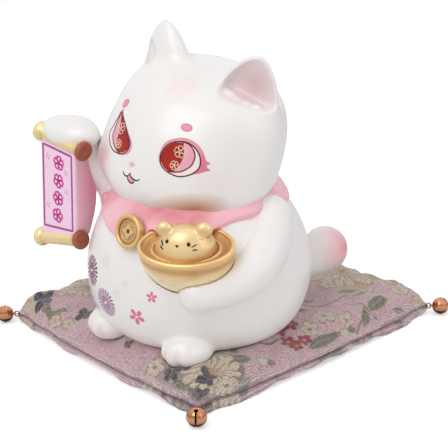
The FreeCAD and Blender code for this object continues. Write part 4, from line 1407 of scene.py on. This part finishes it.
class Weave:
    """Colours and raised threads of the brocade, worked out over the plan of the cloth."""

    def __init__(self, x, y):
        self.x, self.y = x, y
        self.colour = np.tile(linear("E8C4CA"), (len(x), 1))
        self.lift = np.zeros(len(x))

    def put(self, chosen, share, code, lift=0.12):
        share = clamp(share)[:, None]
        self.colour[chosen] = self.colour[chosen] * (1 - share) + linear(code) * share
        self.lift[chosen] = np.maximum(self.lift[chosen] * (1 - share[:, 0]), lift * share[:, 0])

    def near(self, x, y, reach, turn=0.0):
        """The points round a place, with their own turned coordinates."""
        dx, dy = self.x - x, self.y - y
        chosen = np.flatnonzero((np.abs(dx) < reach) & (np.abs(dy) < reach))
        dx, dy = dx[chosen], dy[chosen]
        c, s = math.cos(turn), math.sin(turn)
        return chosen, dx * c + dy * s, -dx * s + dy * c

    def chrysanthemum(self, x, y, radius, turn=0.0, count=16, fill="EFDDC6", line="9C7F5E", heart="C9A571"):
        chosen, px, py = self.near(x, y, radius + 1, turn)
        r, a = np.hypot(px, py), np.arctan2(py, px)
        wobble = radius * (1 + 0.05 * np.sin(3 * a + turn * 5))
        for outer, inner, offset in ((1.0, 0.3, 0.0), (0.66, 0.18, 0.5), (0.38, 0.05, 0.25)):
            part = (a * count / math.tau + offset) % 1 - 0.5
            s = clamp((r / wobble - inner) / (outer - inner))
            half = 0.47 * np.sqrt(clamp(1 - (2 * s - 1.0) ** 4))
            wide = math.tau * r / count
            gap = (half - np.abs(part)) * wide
            ring = (r < outer * wobble) & (r > inner * wobble)
            self.put(chosen, (clamp(gap / 0.35) * ring), fill, 0.16)
            self.put(chosen, hump(gap, 0.33) * ring * 0.85, line, 0.2)
        self.put(chosen, clamp((0.16 * radius - r) / 0.4 + 0.5), heart, 0.2)

    def blossom(self, x, y, radius, turn=0.0, fill="F3E2D0", line="9A8163", heart="B98E58"):
        chosen, px, py = self.near(x, y, radius + 1, turn)
        r, a = np.hypot(px, py), np.arctan2(py, px)
        edge = radius * (0.5 + 0.5 * np.abs(np.cos(2.5 * a)) ** 0.55) - r
        self.put(chosen, clamp(edge / 0.5), fill, 0.15)
        self.put(chosen, hump(edge - 0.3, 0.38) * (edge > -1), line, 0.2)
        stamen = np.abs(np.sin(5 * a)) * r
        self.put(chosen, hump(stamen, 0.35) * (r < 0.5 * radius) * 0.8, line, 0.18)
        self.put(chosen, clamp((0.2 * radius - r) / 0.4 + 0.5), heart, 0.2)

    def leaf(self, x, y, length, width, turn, fill="7C7B74", line="C2AE8D"):
        chosen, px, py = self.near(x, y, length * 0.6 + 1, turn)
        s = clamp(px / length + 0.5)
        bend = 0.1 * width * np.sin(math.pi * s)
        half = 0.5 * width * np.sin(math.pi * s) ** 0.75 * (1.15 - 0.3 * s)
        edge = half - np.abs(py - bend)
        self.put(chosen, clamp(edge / 0.4), fill, 0.14)
        veins = np.abs((px - np.abs(py - bend) * 0.8) % 2.6 - 1.3)
        self.put(chosen, hump(veins, 0.3) * (edge > 0.5) * 0.45, line, 0.17)
        self.put(chosen, hump(py - bend, 0.32) * (edge > 0.2) * 0.7, line, 0.18)
        self.put(chosen, hump(edge - 0.1, 0.36) * (np.abs(px) < length / 2) * 0.8, line, 0.2)

    def twig(self, points, width=0.8, code="6B5148"):
        path = spline(points, 60)
        low, high = path.min(0) - 2, path.max(0) + 2
        across = (self.x > low[0]) & (self.x < high[0])
        chosen = np.flatnonzero(across & (self.y > low[1]) & (self.y < high[1]))
        if len(chosen):
            flat = np.stack([self.x[chosen], self.y[chosen]], 1)
            self.put(chosen, (width / 2 - line_distance(flat, path)) / 0.4 + 0.5, code, 0.14)

    def butterfly(self, x, y, size, turn, fill="2F2847", line="8E7F74"):
        for angle, length, width in ((0.7, 1.0, 0.62), (2.4, 1.0, 0.62), (-0.6, 0.7, 0.5), (3.7, 0.7, 0.5)):
            a = turn + angle
            self.leaf(x + 0.5 * size * length * math.cos(a), y + 0.5 * size * length * math.sin(a),
                      size * length,
                      size * width, a, fill, line)

    def speckle(self):
        """Cream, grey and gold patches behind the motifs."""
        every = np.arange(len(self.x))
        for x, y, reach, code, strength in PATCHES:
            edge = np.hypot(self.x - x, self.y - y) / reach + 0.12 * wavy(self.x, self.y, 8, 14)
            self.put(every, clamp((1 - edge) / 0.1) * strength, code, 0.03)
        share = clamp(wavy(self.x, self.y, 9, 40) * 0.5 + 0.5)
        self.put(every, share * 0.35, "C898A6", 0.0)


CHRYSANTHEMUMS = [
    (-84, -48, 20, 0.2), (-58, -56, 15, 0.6), (-83, -77, 14, 0.1), (30, 72, 23, 0.1), (50, 84, 13, 0.4),
    (74, -74, 16, 0.3), (60, -62, 11, 0.8), (-86, -14, 15, 0.5), (-40, 66, 20, 0.2), (-78, 40, 18, 0.9),
    (-4, 88, 12, 0.1), (-74, 82, 14, 0.7)]
BLOSSOMS = [
    (-44, -93, 6.5), (-34, -90, 6), (70, 14, 8.5), (78, 24, 7.0), (73, -1, 7), (70, 81, 9), (46, -90, 8),
    (60, 62, 6), (-60, 10, 8), (-20, 80, 8), (-70, 60, 7), (10, 60, 8), (-48, 84, 7), (40, 50, 7),
    (-88, 8, 7), (86, -72, 8), (86, 86, 7), (52, 30, 6)]
LEAVES = [
    (85, 2, 26, 9, 1.57), (77, 53, 20, 7, 1.62), (82, 37, 15, 6.5, -0.6), (62, 54, 13, 5.5, 1.5),
    (53, 53, 14, 5, 1.3), (88, 64, 13, 5, 0.9), (-57, -88, 13, 5, 2.6), (-51, -91, 14, 6, -0.5),
    (-46, -86, 12, 5, 0.4), (84, -40, 9, 6, 1.2), (56, 8, 12, 5, 1.1), (48, 22, 10, 4.5, 0.8),
    (86, 24, 8, 5, 0.7), (76, -57, 14, 8, 1.2), (66, -54, 10, 6, 0.2), (90, -60, 10, 6, 1.9),
    (-70, -6, 15, 6, 0.8), (-76, 18, 13, 5, 2.4), (-30, 84, 14, 6, 0.3), (-56, 52, 14, 6, 2.0),
    (16, 86, 12, 5, 2.7), (-84, 64, 13, 6, 1.0), (58, -84, 12, 7, 0.3), (68, -92, 12, 6, 2.9)]
BUDS = [(81, -44, 4.2), (86, 17, 3.6), (-60, -74, 3.5), (-30, 70, 4), (58, 74, 3.5)]
RED_BLOSSOMS = [
    (64, -17, 5.0), (65, -8, 4.6), (74, -18, 5.2), (78, -9, 4.8), (80, -17, 4.4), (-66, 74, 5),
    (-60, 80, 4.5), (-73, -33, 4.5), (-70, -40, 4)]
NAVY = [
    (60, -90, 8, 0.4), (63, -80, 8, 1.4), (77, -79, 8, 2.0), (-29, -80, 9, 0.2), (84, -88, 6, 1.0),
    (-64, -84, 11, 2.4), (-86, 52, 9, 0.5), (10, 76, 7, 1.2), (18, -85, 3.5, 0.4)]
TWIGS = [
    [(69, -38), (71, -30), (70, -22)], [(46, 16), (56, 20), (62, 32), (76, 42), (86, 46)],
    [(62, 32), (58, 44), (62, 60)], [(76, 42), (82, 34), (90, 26)], [(-72, -78), (-58, -86), (-42, -88)],
    [(-74, -2), (-62, 8), (-70, 24)], [(-50, 60), (-36, 76), (-18, 86)], [(8, 66), (20, 84), (40, 90)]]
# soft patches behind the motifs: x, y, reach, colour, strength
PATCHES = [
    (78, -76, 20, "86827E", 0.95), (58, -86, 14, "A29C92", 0.7), (-84, -58, 22, "DCC3A2", 0.9),
    (-80, -84, 15, "E4CFB4", 0.95), (86, -88, 12, "7A7673", 0.9), (-62, -46, 14, "DDC7AE", 0.6),
    (34, 74, 26, "DDBE95", 0.95), (52, 84, 14, "DBC3A2", 0.8), (-44, 64, 22, "D8BFA0", 0.7),
    (-86, 34, 18, "A39D93", 0.7), (22, -76, 12, "DAB9AE", 0.5)]


def brocade_colours(x, y, under):
    weave = Weave(x, y)
    weave.speckle()
    flip = -1 if under else 1
    for points in TWIGS:
        weave.twig([(flip * a, b) for a, b in points])
    for a, b, length, width, turn in LEAVES:
        weave.leaf(flip * a, b, length, width, turn if not under else math.pi - turn)
    for a, b, r, turn in CHRYSANTHEMUMS:
        weave.chrysanthemum(flip * a, b, r, turn)
    for k, (a, b, r) in enumerate(BLOSSOMS):
        weave.blossom(flip * a, b, 0.85 * r, k * 0.7)
    for k, (a, b, r) in enumerate(RED_BLOSSOMS):
        weave.blossom(flip * a, b, r, k * 1.1, "B4484E", "7E2F38", "E3C8A0")
    for a, b, r in BUDS:
        weave.blossom(flip * a, b, r, 0.3, "F3EBDD", "A0917A", "F3EBDD")
    for a, b, size, turn in NAVY:
        weave.butterfly(flip * a, b, size, turn)
    if under:
        for a in range(-60, 61, 30):
            for b in range(-66, 67, 33):
                weave.blossom(a + 5 * math.sin(b), b + 6 * math.cos(a), 7 + 2 * math.sin(a * b), a * 0.1)
    return weave.colour, weave.lift


def soft_cover():
    """The swollen and smoothed cover, with each vertex's place on the cloth: across, along and side."""
    points, faces, cloth_place = pillow_mesh()
    mesh = bpy.data.meshes.new("cushion_cover")
    mesh.from_pydata((points * MM).tolist(), [], [[int(i) for i in f] for f in faces])
    cover = placed("cushion_cover", mesh)
    swell(cover, np.flatnonzero(cloth_place[:, 2] == 0))
    layer = cover.data.attributes.new("cloth_place", "FLOAT_VECTOR", "POINT")
    layer.data.foreach_set("vector", cloth_place.astype(np.float32).ravel())
    fine = cover.modifiers.new("fine", "SUBSURF")
    fine.levels = fine.render_levels = 3
    fine.boundary_smooth = "ALL"
    cover.data = evaluated(cover)
    cover.modifiers.remove(fine)
    cover.data.name = "cushion_cover"
    place = np.zeros(len(cover.data.vertices) * 3, np.float32)
    layer = cover.data.attributes["cloth_place"]
    layer.data.foreach_get("vector", place)
    cover.data.attributes.remove(layer)
    return cover, place.reshape(-1, 3).astype(float).T


def wrinkled(x, y, z, u, v, side):
    """The cover's points with undulations, corner folds and puckers, and the way out of the nearest side."""
    top = side > 0
    free = clamp(np.abs(side))
    reach = np.maximum(np.abs(u), np.abs(v))
    away_from_seat = clamp((reach - 0.45) / 0.3)
    swellings = 0.7 * wavy(x, y, 5, 38) + 0.5 * wavy(x, y, 6, 15) * away_from_seat
    back = clamp((u + v - 0.7) / 0.5)
    swellings += back * (0.9 * wavy(x, y, 7, 20) - 1.6 * hump(u - 0.55, 0.25))
    for cx, cy in ((1, 1), (1, -1), (-1, 1), (-1, -1)):
        dx, dy = cx * cushion_half[0] - x, cy * cushion_half[1] - y
        fan = np.sin(np.arctan2(dy * cy, dx * cx) * 9 + 0.6)
        swellings += 0.8 * fan * hump(np.hypot(dx, dy) - 15, 11)
    z = z + np.where(top, swellings, -0.3 * swellings) * free
    outward = np.stack([u ** 11, v ** 11], 1)
    outward /= np.maximum(np.linalg.norm(outward, axis=1), 1e-3)[:, None]
    along = np.where(np.abs(u) > np.abs(v), y, x)
    from_seam = (1 - reach) * 86 + 1.5 * np.abs(side)
    slow, quick = 2.0 * wavy(x, y, 21, 50), 3 * wavy(x, y, 22, 30)
    pucker = np.sin(along * 0.8 + slow) + 0.6 * np.sin(along * 1.9 + quick)
    wall = hump(from_seam - 5, 6) * free
    low_wall = ~top * clamp((reach - 0.8) / 0.2) * free
    depth = np.where(top, 0.4, 0.12)
    x, y = (c + o * low_wall * wall_fullness + o * wall * depth * pucker for c, o in zip((x, y), outward.T))
    return x, y, z, outward


def make_cushion():
    cover, (u, v, side) = soft_cover()
    x, y, z, outward = wrinkled(*(coordinates(cover.data) / MM).T.copy(), u, v, side)
    top = side > 0
    reach = np.maximum(np.abs(u), np.abs(v))
    # the cloth's own flat measure: down the walls it runs on past the edge
    fall = np.where(top, np.maximum(edge_height - z, 0), cloth_drop + np.maximum(seam_height - z,
                                                                                 0)) * cloth_ease
    cloth_x, cloth_y = x + outward[:, 0] * fall, y + outward[:, 1] * fall
    colour, lift = brocade_colours(np.where(top, cloth_x, x), np.where(top, cloth_y, y), False)
    low = brocade_colours(x, y, True)
    wide = (reach < 0.9) & ~top
    colour[wide], lift[wide] = low[0][wide], low[1][wide]
    from_seam = side * seam_scale
    groove = hump(from_seam, groove_width)
    welt = hump(np.abs(from_seam) - welt_place, welt_width) * (reach > 0.9)
    colour = mixed(mixed(colour, "5A3040", groove_dark * groove), "F3DEDC", welt_pale * welt)
    p = np.stack([x, y, z], 1)
    normal = p - np.stack([x * normal_focus, y * normal_focus, np.full(len(x), seam_height)], 1)
    normal /= np.maximum(np.linalg.norm(normal, axis=1), 1e-6)[:, None]
    free = clamp(np.abs(side))
    raised = lift * free * np.where(top, 1, 0.3) - groove_depth * groove + welt_height * welt
    p += normal * raised[:, None]
    p[:, 2] = np.where(top, np.minimum(p[:, 2], clear_of_cat(p)), p[:, 2])
    p[:, 2] = np.maximum(p[:, 2], floor_gap)
    cover.data.vertices.foreach_set("co", (p * MM).astype(np.float32).ravel())
    cover.data.update()
    cover.data.shade_smooth()
    cover.data.materials.clear()
    cover.data.materials.append(brocade_cloth)
    colour *= cloth_brightness
    # over-bright threads are scaled down as a whole, which keeps their hue
    paint(cover, colour * np.minimum(1, tint_limit / colour.max(axis=1, keepdims=True)))
    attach(cover, "cushion")
    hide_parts("cushion_top_panel", "cushion_bottom_panel", "cushion_filling")


def woven(mat, across, depth, contrast):
    """Adds fine crossing threads to a cloth's colour and height. across is threads per millimetre."""
    tree = mat.node_tree
    shader = tree.nodes["Principled BSDF"]
    where = add(tree, "TexCoord").outputs["Object"]
    waves = []
    for way, rate in (("X", 1.0), ("Y", 1.35)):
        wave = add(tree, "TexWave", wave_type="BANDS", bands_direction=way)
        wire(tree, wave, {"Scale": across * rate / MM / math.tau * 3.14, "Distortion": 1.2, "Detail": 1.0,
                          "Detail Scale": 2.0, "Vector": where})
        waves.append(wave.outputs["Fac"])
    cross = add(tree, "Math", {0: waves[0], 1: waves[1]}, operation="MULTIPLY").outputs[0]
    shade = add(tree, "MapRange", {"To Min": 1 - contrast, "To Max": 1 + contrast * 0.5, "Value": cross})
    bump = add(tree, "Bump", {"Distance": depth * MM, "Height": cross, "Normal": source(shader, "Normal")})
    wire(tree, shader, {"Base Color": multiplied(tree, source(shader, "Base Color"), shade.outputs["Result"]),
                        "Normal": bump.outputs["Normal"]})


woven(brocade_cloth, 0.8, 0.14, 0.5)
make_cushion()

# ------------------------------------------------------------------ carried-over CAD nodes
def painted_reflection_bands(mat):
    """Painted reflection for a polished ball: bands of light and dark by which way its surface faces, darker
    where it faces down, as the floor would show in it.
    """
    tree = mat.node_tree
    shader = tree.nodes["Principled BSDF"]
    facing = add(tree, "NewGeometry").outputs["Normal"]
    parts = add(tree, "SeparateXYZ", {0: facing})
    level = add(tree, "MapRange", {"From Min": -1.0, "Value": parts.outputs["Z"]})
    ramp = add(tree, "ValToRGB", {"Fac": level.outputs["Result"]})
    ramp.color_ramp.interpolation = "EASE"
    stops = ramp.color_ramp.elements
    for stop, grey in zip(list(stops), (0.05, 1.0)):
        stop.color = (grey, grey, grey, 1)
    for place, grey in ((0.3, 0.16), (0.43, 0.95), (0.6, 1.0), (0.7, 0.42), (0.84, 0.7)):
        stops.new(place).color = (grey, grey, grey, 1)
    bands = {0: source(shader, "Base Color"), 1: ramp.outputs["Color"]}
    wire(tree, shader, {"Base Color": add(tree, "VectorMath", bands, operation="MULTIPLY").outputs[0]})


def smooth_copy(node):
    """A smooth-shaded copy of a solid that is shown as it is, riding where the solid rides."""
    mesh = node.data.copy()
    mesh.transform(node.matrix_world)
    weld = bmesh.new()
    weld.from_mesh(mesh)
    bmesh.ops.remove_doubles(weld, verts=weld.verts, dist=0.001 * MM)
    bmesh.ops.dissolve_degenerate(weld, dist=0.001 * MM, edges=weld.edges)
    weld.to_mesh(mesh)
    weld.free()
    mesh.shade_smooth()
    mesh.set_sharp_from_angle(angle=math.radians(40))
    made = placed("shown_" + node.name, mesh)
    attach(made, next(name for name, empty in frame["bodies"].items() if empty is node.parent))
    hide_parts(node.name)
    return made


# painted reflection on the bells' rose gold
painted_reflection_bands(rose_gold)
for part in frame["record"]["subparts"]:
    shown = frame["nodes"][part["node"]]
    if shown.hide_render:
        continue
    if part["node"].startswith(("bell_", "thread_", "corner_")):
        shown = smooth_copy(shown)
    for slot in shown.material_slots:
        slot.material = node_material[part["material_slot"]]

# ------------------------------------------------------------------ stage, lamps, camera
centre = (cad_low + cad_high) / 2
floor_half = 6
floor_mesh = bpy.data.meshes.new("floor")
floor_mesh.from_pydata([(floor_half * x, floor_half * y, 0) for x, y in ((-1, -1), (1, -1), (1, 1), (-1, 1))],
                       [],
                       [(0, 1, 2, 3)])
floor = placed("floor", floor_mesh)
floor.location = (centre.x, centre.y, 0)
floor_paint = bpy.data.materials.new("floor_paint")
floor_paint.use_nodes = True
tree = floor_paint.node_tree
glow = add(tree, "Math", {0: add(tree, "LightPath").outputs["Is Camera Ray"], 1: 0.45}, operation="MULTIPLY")
wire(tree, tree.nodes["Principled BSDF"], {
    "Base Color": (0.86, 0.86, 0.86, 1), "Roughness": 0.9, "Specular IOR Level": 0.1,
    "Emission Strength": glow.outputs[0], "Emission Color": (1, 1, 1, 1)})
floor_mesh.materials.append(floor_paint)

# the background is brighter where it is seen, directly or in a gloss, than where it lights the object
world = bpy.data.worlds.new("studio")
bpy.context.scene.world = world
world.use_nodes = True
tree = world.node_tree
path = add(tree, "LightPath").outputs
glossy = add(tree, "Math", {0: path["Is Glossy Ray"], 1: path["Is Transmission Ray"]}, operation="MAXIMUM")
any_view = add(tree, "Math", {0: path["Is Camera Ray"], 1: glossy.outputs[0]}, operation="MAXIMUM")
level = add(tree, "MapRange", {"To Min": 0.58, "To Max": 1.0, "Value": any_view.outputs[0]})
wire(tree, tree.nodes["Background"], {"Color": (1, 1, 1, 1), "Strength": level.outputs["Result"]})


def direction(azimuth, elevation):
    """The way from the object to something round it: azimuth 0 is in front, at -Y, and 90 is at +X."""
    a, e = math.radians(azimuth), math.radians(elevation)
    return Vector((math.sin(a) * math.cos(e), -math.cos(a) * math.cos(e), math.sin(e)))


def area_lamp(name, azimuth, elevation, distance, size, energy):
    """A square soft box aimed at the object."""
    away = direction(azimuth, elevation)
    data = bpy.data.lights.new(name, "AREA")
    data.shape = "RECTANGLE"
    data.size = data.size_y = size
    data.energy = energy
    lamp = placed(name, data)
    lamp.location = centre + away * distance
    lamp.rotation_euler = away.to_track_quat("Z", "Y").to_euler()


area_lamp("key_box", 10, 48, 1.2, 0.8, 4.3)
area_lamp("fill_box", 112, 26, 1.4, 1.0, 2.1)
area_lamp("top_box", 48, 82, 1.3, 1.2, 1.6)

# the photo's view, aimed a little off the middle of the solids
lens_azimuth, lens_elevation, lens_roll = 48.1, 18.8, -1.2
lens_distance, lens_length, sensor = 0.562, 85.2, 36
aim = centre + Vector((0.0451, -0.0379, -0.0114863348))
away = direction(lens_azimuth, lens_elevation)
right = direction(lens_azimuth + 90, 0)
up = away.cross(right)
roll = math.radians(lens_roll)
pose = Matrix((right * math.cos(roll) + up * math.sin(roll), up * math.cos(roll) - right * math.sin(roll),
               away)).transposed().to_4x4()
pose.translation = aim + away * lens_distance
camera_data = bpy.data.cameras.new("camera")
camera_data.lens, camera_data.sensor_width = lens_length, sensor
camera = placed("camera", camera_data)
camera.matrix_world = pose
bpy.context.scene.camera = camera
bpy.context.scene.view_settings.view_transform = "Standard"
